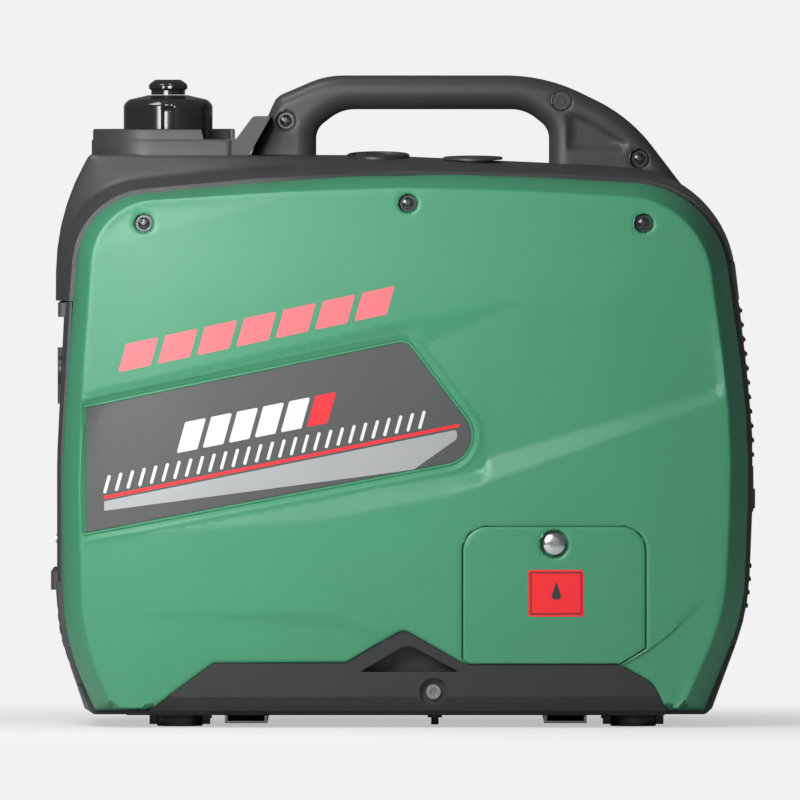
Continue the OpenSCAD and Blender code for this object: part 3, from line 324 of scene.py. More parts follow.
def thicken(points, faces, wall, straight=None):
    """The sheet with a second skin behind it and their edges joined. The second skin is at wall
    along each point's normal, or along the straight direction where one is given."""
    a, b, c = points[faces[:, 0]], points[faces[:, 1]], points[faces[:, 2]]
    face_normal = np.cross(b - a, c - a)
    normal = np.zeros_like(points)
    for k in range(3):
        np.add.at(normal, faces[:, k], face_normal)
    normal /= np.maximum(np.linalg.norm(normal, axis=1), 1e-9)[:, None]
    if straight is not None:
        normal = -np.array(straight, float) + 0 * normal
    count = len(points)
    sides = np.concatenate([faces[:, [0, 1]], faces[:, [1, 2]], faces[:, [2, 0]]])
    key = np.sort(sides, 1)
    _, first, times = np.unique(key, axis=0, return_index=True, return_counts=True)
    rim = sides[first[times == 1]]
    strip = np.concatenate([
        np.stack([rim[:, 1], rim[:, 0], rim[:, 0] + count], 1),
        np.stack([rim[:, 1], rim[:, 0] + count, rim[:, 1] + count], 1),
    ])
    return (
        np.concatenate([points, points - normal * wall]),
        np.concatenate([faces, faces[:, ::-1] + count, strip]),
    )


def mirrored(points, faces):
    """The same surface on the other side of the centre line."""
    return points * [1, -1, 1], faces[:, ::-1]


def joined(*parts):
    """Several surfaces as one."""
    points, faces, start = [], [], 0
    for some_points, some_faces in parts:
        points.append(some_points)
        faces.append(some_faces + start)
        start += len(some_points)
    return np.concatenate(points), np.concatenate(faces)


def woven(grid, wrap=False):
    """Triangles over a grid of points, rows by columns; wrap closes each row on itself."""
    rows, columns = grid.shape[:2]
    index = np.arange(rows * columns).reshape(rows, columns)
    if wrap:
        index = np.concatenate([index, index[:, :1]], 1)
    a, b = index[:-1, :-1].ravel(), index[:-1, 1:].ravel()
    c, d = index[1:, 1:].ravel(), index[1:, :-1].ravel()
    return grid.reshape(-1, 3), np.concatenate([np.stack([a, b, c], 1), np.stack([a, c, d], 1)])


def prism(corners, y_front, y_back, pitch=12.0):
    """A solid with that outline from the side, between two places across the machine."""
    front = sheet_of(rounded(corners), [], [], [], lambda p: 0 * p[:, 0] - y_front, pitch)
    return thicken(*front, y_back - y_front, (0, 1, 0))


def turned(profile, centre, count=96, ripple=None, axis="z"):
    """A surface of revolution about a line through centre. The profile is (radius, height) from
    the crown outwards and down; ripple(angle, radius, height) changes the radius with direction."""
    turn = np.linspace(0, 2 * np.pi, count, endpoint=False)[None, :]
    radius, height = (np.array(profile, float)[:, k:k + 1] for k in (0, 1))
    if ripple:
        radius = ripple(turn, radius, height)
    u, v = radius * np.cos(turn), radius * np.sin(turn)
    w = height + 0 * u
    if axis == "z":
        return woven(np.stack([centre[0] + u, centre[1] + v, w], -1)[::-1], True)
    return woven(np.stack([centre[0] + u, -w, centre[1] + v], -1)[::-1], True)


def shape(name, surface, material, body, nodes=(), sharp=32.0, bevel=0.0):
    """The Blender object for a surface in millimetres: its finish, the CAD body it rides on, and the
    CAD nodes it stands for."""
    points, faces = surface
    mesh = bpy.data.meshes.new(name)
    mesh.from_pydata((points * MM).astype(np.float32).tolist(), [], faces.tolist())
    melt = bmesh.new()
    melt.from_mesh(mesh)
    bmesh.ops.remove_doubles(melt, verts=melt.verts, dist=0.00002)
    bmesh.ops.dissolve_degenerate(melt, edges=melt.edges, dist=0.000005)
    melt.to_mesh(mesh)
    melt.free()
    mesh.polygons.foreach_set("use_smooth", np.ones(len(mesh.polygons), bool))
    mesh.set_sharp_from_angle(angle=math.radians(sharp))
    mesh.update()
    piece = bpy.data.objects.new(name, mesh)
    bpy.context.scene.collection.objects.link(piece)
    mesh.materials.append(material)
    if bevel > 0:
        ease = piece.modifiers.new("eased edges", "BEVEL")
        ease.width = bevel * MM
        ease.segments = 2
        ease.limit_method = "ANGLE"
        ease.angle_limit = math.radians(50)
    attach(piece, body)
    if nodes:
        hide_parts(*nodes)
    return piece


def ease_in(value, low, high):
    """0 below low, 1 above high, and a smooth turn between."""
    t = np.clip((value - low) / (high - low), 0, 1)
    return t * t * (3 - 2 * t)


def soft_min(a, b, blend):
    """The lower of two heights, with their meeting rounded over about blend."""
    return 0.5 * (a + b - np.sqrt((a - b) ** 2 + blend * blend))


def panel_edge(front=0.0, rear=0.0, top=0.0, base=0.0):
    """Corners of a side panel's edge, with its front, rear, top and base moved in."""
    return [
        (-HALF_LENGTH + 31 + front, BASE_Z + base, 1),
        (HALF_LENGTH - 37 - rear, BASE_Z + base, 1),
        (HALF_LENGTH - 9 - rear, 80, 150),
        (HALF_LENGTH - 4 - rear, 205, 600),
        (HALF_LENGTH - 28 - rear, HEIGHT - 79 - top, 70 - (rear + top) / 2),
        (0, HEIGHT - 66 - top, 1400),
        (-HALF_LENGTH + 22 + front, HEIGHT - 87 - top, 52 - (front + top) / 2),
        (-HALF_LENGTH + 5 + front, 170, 1200),
        (-HALF_LENGTH + 10 + front, 58, 160),
    ]


CASE_EDGE = [
    (-HALF_LENGTH + 23.5, BASE_Z, 1),
    (HALF_LENGTH - 31, BASE_Z, 1),
    (HALF_LENGTH - 5.5, 80, 150),
    (HALF_LENGTH - 0.5, 205, 600),
    (HALF_LENGTH - 22, HEIGHT - 71, 80),
    (HALF_LENGTH - 189, DECK_Z + 1, 2000),
    (-HALF_LENGTH + 27, DECK_Z + 2.5, 4),
    (-HALF_LENGTH + 3.5, HEIGHT - 97.3, 160),
    (-HALF_LENGTH + 1.5, 118, 100),
    (-HALF_LENGTH + 5.5, 64, 90),
]
HANDLE_EDGE = [
    (-HALF_LENGTH + 137, DECK_Z - 6, 1),
    (HALF_LENGTH - 50, HEIGHT - 80, 1),
    (HALF_LENGTH - 89, HEIGHT - 29, 110),
    (HALF_LENGTH - 149, HEIGHT, 120),
    (-HALF_LENGTH + 194, HEIGHT, 60),
    (-HALF_LENGTH + 159, HEIGHT - 15, 12),
]
WINDOW_TOP = HEIGHT - 24
HANDLE_WINDOW = [
    (-HALF_LENGTH + 187, DECK_Z - 5, 1),
    (HALF_LENGTH - 146, DECK_Z - 5, 1),
    (HALF_LENGTH - 146, WINDOW_TOP - 13.8, 14),
    (HALF_LENGTH - 163, WINDOW_TOP, 28),
    (-HALF_LENGTH + 205, WINDOW_TOP, 28),
    (-HALF_LENGTH + 187, WINDOW_TOP - 13.8, 14),
]
HANDLE_SCREWS = [(-HALF_LENGTH + 165.5, HEIGHT - 32), (HALF_LENGTH - 82, HEIGHT - 59)]
BOSS_CAP = (HALF_LENGTH - 137, HEIGHT - 18)
WELL_R = 7.0


def reach_of(loop, angle):
    """How far an outline is from the case's centre line, in each direction."""
    fine = along(loop, 2.0, True) - CENTRE
    turn = np.arctan2(fine[:, 1], fine[:, 0]) % (2 * np.pi)
    order = np.argsort(turn)
    turn, reach = turn[order], np.hypot(*fine.T)[order]
    return np.interp(angle % (2 * np.pi), turn, reach, period=2 * np.pi)


RIM = rounded(inset(panel_edge(), -3))
CASE = rounded(CASE_EDGE)


def case_skin(angle, y):
    """Points of the case's skin in a direction round the centre line, at a distance y across.
    The radius grows from the rim beside a panel to the silhouette: over a band and a steep
    shoulder in front of the handle, and in one long curve behind it."""
    rim = reach_of(RIM, angle)
    full = reach_of(CASE, angle)
    out = np.abs(y) / SEAM_Y
    degrees = np.degrees(angle)
    front = ease_in(degrees, 96, 122) * (1 - ease_in(degrees, 196, 206))
    low_front = ease_in(degrees, 150, 172)
    band = 9.5 - 5.0 * low_front
    long_curve = 1 - out ** 2.3
    step = np.clip((SEAM_Y - 3 - np.abs(y)) / 34, 0, 1)
    rise = 1 - ease_in(np.abs(y), 60, 76 - 2 * low_front)
    shoulder = np.minimum(band / np.maximum(full - rim, 1), 1) * step ** 0.85
    shoulder = shoulder + (1 - shoulder) * rise
    share = long_curve * (1 - front) + shoulder * front
    radius = rim + (full - rim) * share
    return np.stack([
        CENTRE[0] + radius * np.cos(angle),
        y + 0 * radius,
        CENTRE[1] + radius * np.sin(angle),
    ], -1)


def belt(ends, rows, columns, y_from, y_to):
    """Half of the case's top skin, from y_from to y_to, between two heights at its ends."""
    y = np.linspace(y_from, y_to, rows)
    limit = []
    level = (math.pi, 0.0)
    upright = (math.pi / 2 + 0.5, math.pi / 2 - 0.5)
    for height, low, high in zip(ends, level, upright):
        a, b = np.full(rows, low), np.full(rows, high)
        for _halving in range(26):
            middle = (a + b) / 2
            over = case_skin(middle, y)[:, 2] > height
            b = np.where(over, middle, b)
            a = np.where(over, a, middle)
        limit.append((a + b) / 2)
    share = np.linspace(0, 1, columns)[None, :]
    angle = limit[0][:, None] * (1 - share) + limit[1][:, None] * share
    return case_skin(angle, y[:, None] + 0 * angle)


def punched(points, faces, holes):
    """Takes round holes out of a top skin: faces within each circle go, and the points left on
    their edge move onto it."""
    for centre, radius in holes:
        flat = points[:, :2] - centre
        above = points[:, 2] > CENTRE[1]
        within = (np.hypot(*flat.T) < radius) & above
        gone = within[faces].sum(1) >= 2
        edge = np.intersect1d(faces[gone], faces[~gone])
        faces = faces[~gone]
        gap = np.hypot(*flat[edge].T)
        points = points.copy()
        points[edge, :2] = centre + flat[edge] / gap[:, None] * radius
    return points, faces


NECK = np.array([-HALF_LENGTH + CAP_FROM_FRONT, 0.0])
SPARK_COVER = np.array([-HALF_LENGTH + 231, -36.0])
SERVICE_PLUG = np.array([-HALF_LENGTH + 298, -40.0])
DECK_HOLES = [(NECK, 24.5), (SPARK_COVER, 16.0), (SERVICE_PLUG, 15.0)]


def handle_height(p):
    """Half thickness of the handle. Its outer edge is rounded over 9 mm and its window's over
    12 mm; the rear arm has a shallow flat web behind a rim."""
    outer = away(p, rounded(HANDLE_EDGE)) * inside(p, rounded(HANDLE_EDGE))
    window = away(p, rounded(HANDLE_WINDOW))
    a = np.clip(outer / 9, 0, 1)
    b = np.clip(window / 13, 0, 1)
    bar = 9 + 10 * np.sqrt(1 - (1 - a) ** 2)
    grip = 6 + 13 * np.sqrt(1 - (1 - b) ** 2)
    full = np.minimum(bar, grip)
    web = rounded(WEB)
    depth = np.where(inside(p, web), ease_in(away(p, web), 0, 5), 0)
    full = full - 2.6 * depth
    for centre in [*HANDLE_SCREWS, BOSS_CAP]:
        gap = np.hypot(*(p - centre).T)
        sunk = 3 if centre is BOSS_CAP else 7
        floor = 19 - sunk * (gap < WELL_R - 0.3)
        full = np.where(gap < WELL_R + 0.02, np.minimum(full, floor), full)
        full = full - 0.7 * np.clip(1 - (gap - WELL_R) / 1.2, 0, 1) ** 2 * (gap >= WELL_R)
    return full


WEB = [
    (HALF_LENGTH - 134, HEIGHT - 54, 3),
    (HALF_LENGTH - 94, HEIGHT - 54, 3),
    (HALF_LENGTH - 88, HEIGHT - 48, 3),
    (HALF_LENGTH - 122, HEIGHT - 27, 30),
    (HALF_LENGTH - 134, HEIGHT - 26, 3),
]
steps = 1 - np.cos(np.linspace(0, np.pi / 2, 8))[1:]
handle_outline = rounded(HANDLE_EDGE, 3)
window_outline = rounded(HANDLE_WINDOW, 5)


def ring_at(centre, radius, count=40):
    """A circle about a centre."""
    turn = np.linspace(0, 2 * np.pi, count, endpoint=False)
    return np.array(centre) + radius * np.stack([np.cos(turn), np.sin(turn)], 1)


handle_loops = [rounded(inset(HANDLE_EDGE, 9 * s), 4) for s in steps]
handle_loops += [rounded(inset(HANDLE_WINDOW, -13 * s), 5) for s in steps]
handle_loops += [rounded(WEB), rounded(inset(WEB, 2.5)), rounded(inset(WEB, 5))]
for spot in [*HANDLE_SCREWS, BOSS_CAP]:
    handle_loops += [ring_at(spot, r) for r in (WELL_R - 0.35, WELL_R, WELL_R + 0.6, WELL_R + 1.2)]


def walled(points, faces, y_back):
    """A sheet with its edges carried straight back to the plane y_back."""
    sides = np.concatenate([faces[:, [0, 1]], faces[:, [1, 2]], faces[:, [2, 0]]])
    _, first, times = np.unique(np.sort(sides, 1), axis=0, return_index=True, return_counts=True)
    rim = sides[first[times == 1]]
    used, rim = np.unique(rim, return_inverse=True)
    rim = rim.reshape(-1, 2)
    back = points[used] * [1, 0, 1] + [0, y_back, 0]
    start = len(points)
    strip = np.concatenate([
        np.stack([used[rim[:, 1]], used[rim[:, 0]], rim[:, 0] + start], 1),
        np.stack([used[rim[:, 1]], rim[:, 0] + start, rim[:, 1] + start], 1),
    ])
    return np.concatenate([points, back]), np.concatenate([faces, strip])


MEETING = -0.15
handle_face = sheet_of(handle_outline, [window_outline], handle_loops, [], handle_height, 2.5)
handle_half = walled(*handle_face, MEETING)
skin = woven(belt(SHELL_LOW, 56, 260, -SEAM_Y, MEETING))
deck_half = thicken(*punched(skin[0], skin[1], DECK_HOLES), WALL)
oil_half = joined(deck_half, handle_half)
plain_deck = thicken(*punched(skin[0], skin[1], DECK_HOLES[:1]), WALL)
starter_half = mirrored(*joined(plain_deck, handle_half))
for side, half in (("oil", oil_half), ("starter", starter_half)):
    node = "top_shell_" + side + "_side"
    shape(node + "_look", half, DARK, "case", [node])

# ---------------------------------------------------------------- filler collar
# A moulded cup that stands on the top shell round the fuel cap and keeps spilt fuel off the
# case. Its upper tier is cut away beside the cap for a finger, and a ramp meets the handle.
COLLAR_PLAN = [(-221, -62, 42), (-119, -62, 6), (-119, 62, 6), (-221, 62, 42)]
CUP_FLOOR = 407
COLLAR_WALL = [
    (0, 400.8), (0, 412.6), (0.3, 413.2), (1, 413.6), (1, 420), (1.3, 420.7), (2, 421),
    (3, 421), (3.6, 420.6), (3.8, 420), (3.8, 407.3), (4.2, CUP_FLOOR),
]
NOTCH_X = -142.3
NOTCH_Y = -50
NOTCH_Z = 413.8
NECK_HOLE = 24.5
RAMP = [
    (-126, 400.8, 0.1), (-110.5, 400.8, 1), (-94, 430, 0.1),
    (-106.7, 430, 3), (-118.8, 413.7, 3), (-126, 413.7, 0.1),
]


def cup():
    """The collar: its plan moved inwards along its own normals by the wall profile's offsets,
    then a floor in to the neck's hole and back under. The notch lowers the wall's top."""
    plan = along(rounded(COLLAR_PLAN, 4), 1.5, True)
    run = np.roll(plan, -1, 0) - np.roll(plan, 1, 0)
    run /= np.hypot(*run.T)[:, None]
    inward = np.stack([-run[:, 1], run[:, 0]], 1)
    offset, level = np.array(COLLAR_WALL, float).T
    wall = plan[None] + offset[:, None, None] * inward[None]
    z = level[:, None] + 0 * wall[..., 0]
    notch = (plan[:, 0] > NOTCH_X) & (plan[:, 1] < NOTCH_Y)
    z = np.where(notch[None], np.minimum(z, NOTCH_Z), z)
    toward = plan - NECK
    circle = NECK + toward / np.hypot(*toward.T)[:, None] * NECK_HOLE
    rows = [*wall, circle, circle, wall[0]]
    heights = [*z, CUP_FLOOR + 0 * z[0], COLLAR_WALL[0][1] + 0 * z[0], z[0]]
    return woven(np.concatenate([rows, np.array(heights)[..., None]], -1), True)


RAMP_Y = 61
collar = joined(cup(), prism(RAMP, -RAMP_Y, RAMP_Y))
shape("filler_collar_look", collar, DARK, "case", ["filler_collar"])

# ---------------------------------------------------------------- front bezel and controls
# The moulded front wall frames a black plate that carries the sockets, switches and knobs.
SOCKET = finish_of("socket_grey", (0.03, 0.034, 0.04), rough=0.4)
RED = finish_of("red_button", (0.62, 0.02, 0.025), rough=0.3)
LAMP = finish_of("lamp", (0.10, 0.45, 0.14), rough=0.15, coat=0.6)
carry(["front_bezel"], DARK, bevel=0.6)
carry(["control_plate"], BLACK, bevel=0.3)
carry(["mains_sockets", "socket_lid_left", "socket_lid_right"], SOCKET, bevel=0.5)
knobs = ["dc_socket", "eco_switch", "dc_breaker", "run_knob", "choke_knob"]
carry(knobs, BLACK, bevel=0.5)
carry(["mains_breaker"], RED, bevel=0.4)
carry(["indicator_lamps"], LAMP, bevel=0.6)
carry(["earth_stud", "earth_nut"], STEEL, bevel=0.2)

# ---------------------------------------------------------------- rear grille
# The moulded rear wall, ribbed to let the cooling air out, with the exhaust outlet in its boss.
carry(["rear_grille"], DARK, bevel=0.5)

# ---------------------------------------------------------------- side panels
# Injection-moulded green panels, 3 mm thick, held by three screws each. A band slopes from the
# seam to the face, and the face steps down into a channel that holds the badge.
GREEN = finish_of(
    "green_panel", (0.050, 0.265, 0.140), rough=0.40, vary=0.05, grain=1700.0, bump=0.03
)
FACE = HALF_WIDTH - 2
CROWN = 2.0
EDGE = rounded(panel_edge(), 4)
PLATEAU_CORNERS = [
    (-HALF_LENGTH + 45, BASE_Z, 1),
    (HALF_LENGTH - 53, BASE_Z, 1),
    (HALF_LENGTH - 23, 80, 150),
    (HALF_LENGTH - 16.5, 205, 600),
    (HALF_LENGTH - 39.5, HEIGHT - 88, 62),
    (0, HEIGHT - 76.5, 1400),
    (-HALF_LENGTH + 31.5, HEIGHT - 90, 47),
    (-HALF_LENGTH + 17.5, 170, 1200),
    (-HALF_LENGTH + 24, 58, 160),
]
PLATEAU = rounded(PLATEAU_CORNERS, 4)
SKIRT = [
    (-HALF_LENGTH + 68, BASE_Z - 1, 0.1),
    (HALF_LENGTH - 63, BASE_Z - 1, 0.1),
    (HALF_LENGTH - 74, 31, 14),
    (HALF_LENGTH - 97, 44, 4),
    (46, 44, 1),
    (40, 46, 4),
    (0, 69, 8),
    (-40, 45, 4),
    (-HALF_LENGTH + 115, 45, 2),
]
BADGE = [
    (-HALF_LENGTH + 25, 137, 0.5),
    (63, 192, 20),
    (2, 272, 9),
    (-HALF_LENGTH + 25, 225, 0.5),
]
# Lines on the face, as (x, z): the channel's upper and lower steps, the fold above the skirt,
# the crease behind the oil door and the one below the front screw.
UPPER_TOP = [(-230, 233.2), (-1, 285), (84, 300.5)]
UPPER_FOOT = [(-230, 228.0), (0, 277.5), (7, 276), (13, 270), (84, 300)]
LOWER_TOP = [(-230, 134.7), (54, 180), (60, 190), (226, 239)]
LOWER_FOOT = [(-230, 134.4), (-60, 145.5), (31, 163.4), (68, 176), (226, 232)]
FOLD_TOP = [(-186, 79.4), (-60, 80.8), (-50, 80.4), (-42, 78.5), (0, 61)]
FOLD_FOOT = [(-186, 78.8), (-157, 77), (-63, 71.6), (-50, 70.2), (0, 49)]
CREASE = [(152.5, 43.4), (171, 54), (187, 66), (204.7, 83.5), (216.8, 98)]
BROW = [(-218, 336), (-73, 376), (-40, 383)]
PANEL_SCREWS = [
    (-HALF_LENGTH + 66, HEIGHT - 104),
    (3, HEIGHT - 90),
    (HALF_LENGTH - 80, HEIGHT - 104),
]
OIL_DOOR_X = [HALF_LENGTH - 208, HALF_LENGTH - 78]
OIL_DOOR_Z = [44.2, 142.2]
OIL_DOOR = [
    (OIL_DOOR_X[0] + 5, OIL_DOOR_Z[0], 0.5),
    (OIL_DOOR_X[1] - 18, OIL_DOOR_Z[0], 0.5),
    (OIL_DOOR_X[1], OIL_DOOR_Z[0] + 11.3, 1),
    (OIL_DOOR_X[1], OIL_DOOR_Z[1], 18),
    (OIL_DOOR_X[0], OIL_DOOR_Z[1], 18),
    (OIL_DOOR_X[0], OIL_DOOR_Z[0] + 3.5, 0.5),
]


def at(line, x):
    """Height of a line of (x, z) points at x."""
    return np.interp(x, *np.array(line, float).T)


def signed(p, loop):
    """Distance outside an outline, negative within it."""
    return np.where(inside(p, loop), -1, 1) * away(p, loop)


def channel(x, z):
    """Depth of the face's steps: the channel beside the badge, the fold above the skirt, the
    crease behind the oil door, and the faint fall above the brow line."""
    upper = np.interp(x, [-230, 0, 20, 84], [2.6, 3.6, 3.0, 0.0])
    lower = np.interp(x, [-230, 0, 60, 200, 230], [0.3, 2.8, 4.8, 2.8, 2.2])
    top, top_foot = at(UPPER_TOP, x), at(UPPER_FOOT, x)
    low, low_foot = at(LOWER_TOP, x), at(LOWER_FOOT, x)
    share = np.clip((z - low) / np.maximum(top_foot - low, 1), 0, 1)
    floor = lower * (1 - share) + upper * share
    fall = np.clip((top - z) / np.maximum(top - top_foot, 0.4), 0, 1)
    climb = np.clip((z - low_foot) / np.maximum(low - low_foot, 0.4), 0, 1)
    depth = floor * np.minimum(fall, climb)
    fold = np.interp(x, [-186, -157, -60, -2, 3], [0, 0.7, 3.0, 3.4, 0])
    fold_top = at(FOLD_TOP, x)
    turn = np.clip((fold_top - z) / np.maximum(fold_top - at(FOLD_FOOT, x), 0.4), 0, 1)
    depth = depth + fold * turn
    behind = np.interp(x, [150, 190, 216.8], [1.8, 1.4, 0.0]) * (x > 150)
    depth = depth + behind * np.clip((at(CREASE, x) - z) / 2.2, 0, 1)
    above = np.clip(z - at(BROW, x), 0, 60) * np.interp(x, [-80, -40], [0.035, 0.0])
    return depth + above


def face_height(p):
    """Height of the panel's face before its badge recess: band, rounded edge, crown and steps."""
    edge = away(p, EDGE)
    top = away(p, PLATEAU)
    on_face = inside(p, PLATEAU)
    share = edge / np.maximum(edge + top, 1e-6)
    foot = SEAM_Y + 8
    band = foot + (FACE - foot) * (share + 0.07 * np.sin(np.pi * share))
    band = np.where(on_face, FACE + 1.9 * top, band)
    wall = SEAM_Y + 0.3 + 15 * edge
    crown = FACE + CROWN * ease_in(top, 0, 90)
    face = np.where(on_face, crown, FACE) - channel(*p.T) * ease_in(np.where(on_face, top, 0), 0, 6)
    return soft_min(soft_min(wall, band, 0.8), face, 1.2)


PAST_FRONT = 45
RECESS = [
    (BADGE[0][0] - PAST_FRONT, BADGE[0][1] - PAST_FRONT * 55 / 287, 0.5),
    BADGE[1],
    BADGE[2],
    (BADGE[3][0] - PAST_FRONT, BADGE[3][1] - PAST_FRONT * 47 / 226, 0.5),
]
LIP_STEPS = [-0.2, 0.3, 1.4, 1.9, 5.0, 5.6, 6.8, 7.6]
LIP_DEPTH = [2.2, 1.1, 1.1, 2.0, 0.1, -0.35, -0.35, 0.0]


def dips(p):
    """Depth of the badge recess with its double lip, which ends at the face's front edge."""
    gap = signed(p, rounded(RECESS))
    lip = np.interp(gap, LIP_STEPS, LIP_DEPTH)
    front = -HALF_LENGTH + 24.0
    return lip * np.clip((p[:, 0] - front + 1.2) / 0.8, 0, 1)


def eased(gap, width, drop):
    """Fall of an edge rounded over a width."""
    return drop * np.clip(1 - gap / width, 0, 1) ** 2


SCREW_SEAT = FACE - 7
SKIRT_EDGE = [2.8, 2.4]
DOOR_EDGE = [0.9, 0.7]


def panel_height(p, opening):
    """Height of a side panel: its face, screw wells, skirt cut-out and door opening, whose edges
    are rounded over a width and a drop."""
    high = face_height(p) - dips(p)
    for spot in PANEL_SCREWS:
        gap = np.hypot(*(p - spot).T)
        high = high - eased(gap - WELL_R, 1.3, 0.9) * (gap >= WELL_R)
        high = np.where(gap < WELL_R - 0.01, SCREW_SEAT + 0 * gap, high)
    high = high - eased(away(p, rounded(SKIRT)), *SKIRT_EDGE)
    return high - eased(away(p, rounded(opening)), *DOOR_EDGE) * (~inside(p, rounded(opening)))


def well_loops():
    """Circles where a screw well's edge bends."""
    steps_out = (-0.4, 0, 0.6, 1.3)
    return [ring_at(spot, WELL_R + d) for spot in PANEL_SCREWS for d in steps_out]


FACE_LINES = [UPPER_TOP, UPPER_FOOT, LOWER_TOP, LOWER_FOOT, FOLD_TOP, FOLD_FOOT, CREASE, BROW]
FACE_LINES += [[(x, z - 2.2) for x, z in CREASE]]
face_loops = [rounded(panel_edge(d, d, d), 4) for d in (0.5, 1.2)]
face_loops += [rounded(inset(PLATEAU_CORNERS, d), 4) for d in (-1.0, -0.3, 0.4, 1.2)]
face_loops += [rounded(inset(RECESS, -s)) for s in LIP_STEPS] + well_loops()
skirt_hole = rounded(inset(SKIRT, -0.3))
screw_holes = [ring_at(spot, 2.7, 20) for spot in PANEL_SCREWS]
PITCH = 2.6
LEDGE_Y = FACE - 5
LEDGE_WALL = 1.5


def seat_of(corners):
    """The narrow flat flange behind a door's edge."""
    outer, inner = rounded(inset(corners, -3)), rounded(inset(corners, 5))
    ledge = sheet_of(outer, [inner], [], [], lambda p: LEDGE_Y + 0 * p[:, 0], 6.0)
    return thicken(*ledge, LEDGE_WALL)


def edge_loops(opening):
    """Outlines round the skirt and a door opening where their edges bend."""
    round_skirt = [rounded(inset(SKIRT, -s)) for s in (1.0, 1.9, 3.1)]
    return round_skirt + [rounded(inset(opening, -s)) for s in (0.35, 0.9)]


oil_holes = [skirt_hole, rounded(OIL_DOOR), *screw_holes]
oil_panel = thicken(
    *sheet_of(
        EDGE, oil_holes, face_loops + edge_loops(OIL_DOOR), FACE_LINES,
        lambda p: panel_height(p, OIL_DOOR), PITCH,
    ),
    WALL,
)
oil_panel = joined(oil_panel, seat_of(OIL_DOOR))
shape("side_panel_oil_side_look", oil_panel, GREEN, "case", ["side_panel_oil_side"])

FILTER_DOOR = [(50, 224, 12), (150, 224, 12), (150, 312, 18), (50, 312, 18)]
POCKET = [(-55, 296, 10), (11, 296, 10), (11, 334, 10), (-55, 334, 10)]
POCKET_FLOOR = 122.0
ROPE_HOLE = ((-22, 315), 5)


def slot_at(x0, x1, z0, z1):
    """Corners of a louvre."""
    return [(x0, z0, 2), (x1, z0, 2), (x1, z1, 2), (x0, z1, 2)]


LOUVRES = [slot_at(71 + 2 * i, 199, 58.5 + 15 * i, 67.5 + 15 * i) for i in range(8)]


def starter_panel_height(p):
    """Height of the starter side's panel, with its louvres and the pocket for the pull grip."""
    high = panel_height(p, FILTER_DOOR)
    for slot in LOUVRES:
        high = high - eased(away(p, rounded(slot)), 1.5, 1.3)
    pocket = rounded(POCKET)
    high = high - eased(away(p, pocket), 2.5, 2.0) * (~inside(p, pocket))
    return np.where(inside(p, pocket), POCKET_FLOOR + 0 * high, high)


starter_loops = face_loops + edge_loops(FILTER_DOOR)
starter_loops += [rounded(inset(POCKET, -s)) for s in (-0.4, 0.02, 1.2, 2.5)]
starter_loops += [rounded(inset(slot, -1.5)) for slot in LOUVRES]
starter_holes = [skirt_hole, rounded(FILTER_DOOR), ring_at(*ROPE_HOLE, 24), *screw_holes]
starter_holes += [rounded(slot) for slot in LOUVRES]
starter_face = sheet_of(
    EDGE, starter_holes, starter_loops, FACE_LINES, starter_panel_height, PITCH
)
starter_panel = joined(thicken(*starter_face, WALL, (0, 1, 0)), seat_of(FILTER_DOOR))
shape(
    "side_panel_starter_side_look", mirrored(*starter_panel), GREEN, "case",
    ["side_panel_starter_side"],
)

# ---------------------------------------------------------------- oil door
# A flush door in the oil side's panel, clipped at its foot and held by one coin-slotted screw.
DOOR_GAP = 0.8
OIL_SCREW = ((OIL_DOOR_X[0] + OIL_DOOR_X[1]) / 2, OIL_DOOR_Z[1] - 13)
DOOR_WELL = 10.0


WELL_FLOOR = FACE - 5.6


def door_height(p, corners, screw):
    """Height of a door: the panel's face, with the door's own eased edge and screw recess."""
    high = face_height(p) - eased(away(p, rounded(inset(corners, DOOR_GAP))), *DOOR_EDGE)
    gap = np.hypot(*(p - screw).T)
    high = high - eased(gap - DOOR_WELL, 1.6, 1.2) * (gap >= DOOR_WELL)
    return np.where(gap < DOOR_WELL - 0.01, WELL_FLOOR + 0 * gap, high)


def door_of(corners, screw, lines):
    """A door that fills an opening less its gap, with a hole for its screw."""
    loops = [rounded(inset(corners, DOOR_GAP + s)) for s in (0.35, 0.9)]
    loops += [ring_at(screw, DOOR_WELL + d, 48) for d in (-0.5, 0, 0.8, 1.6)]
    outline = rounded(inset(corners, DOOR_GAP))
    hole = ring_at(screw, 3.2, 20)
    face = sheet_of(outline, [hole], loops, lines, lambda p: door_height(p, corners, screw), PITCH)
    return thicken(*face, WALL)


oil_door = door_of(OIL_DOOR, OIL_SCREW, [])
shape("oil_door_look", oil_door, GREEN, "oil_door", ["oil_door"])


COIN_HEAD = 7.6


def coin_screw(spot):
    """A domed head with a coin slot right across it, carried back below its recess's floor."""
    reach = math.sqrt(COIN_HEAD ** 2 - 1.1 ** 2) - 0.1
    x, z = spot
    lines = [[(x - reach, z + s), (x + reach, z + s)] for s in (-1.15, -1.0, 1.0, 1.15)]

    def height(p):
        gap = np.hypot(*(p - spot).T) / COIN_HEAD
        return FACE + 1.6 - 1.6 * gap ** 3 - 1.6 * (np.abs(p[:, 1] - z) < 1.05)

    head = sheet_of(
        ring_at(spot, COIN_HEAD, 56), [], [ring_at(spot, COIN_HEAD - 1, 48)], lines, height, 1.3
    )
    return walled(*head, -(WELL_FLOOR - 0.6))


CHROME = finish_of(
    "bright_screw", (0.62, 0.62, 0.62), rough=0.24, metal=1.0, grain=1500.0, wear=0.1
)
shape(
    "oil_door_screw_look", coin_screw(OIL_SCREW), CHROME, "oil_door_screw", ["oil_door_screw"],
    sharp=40,
)

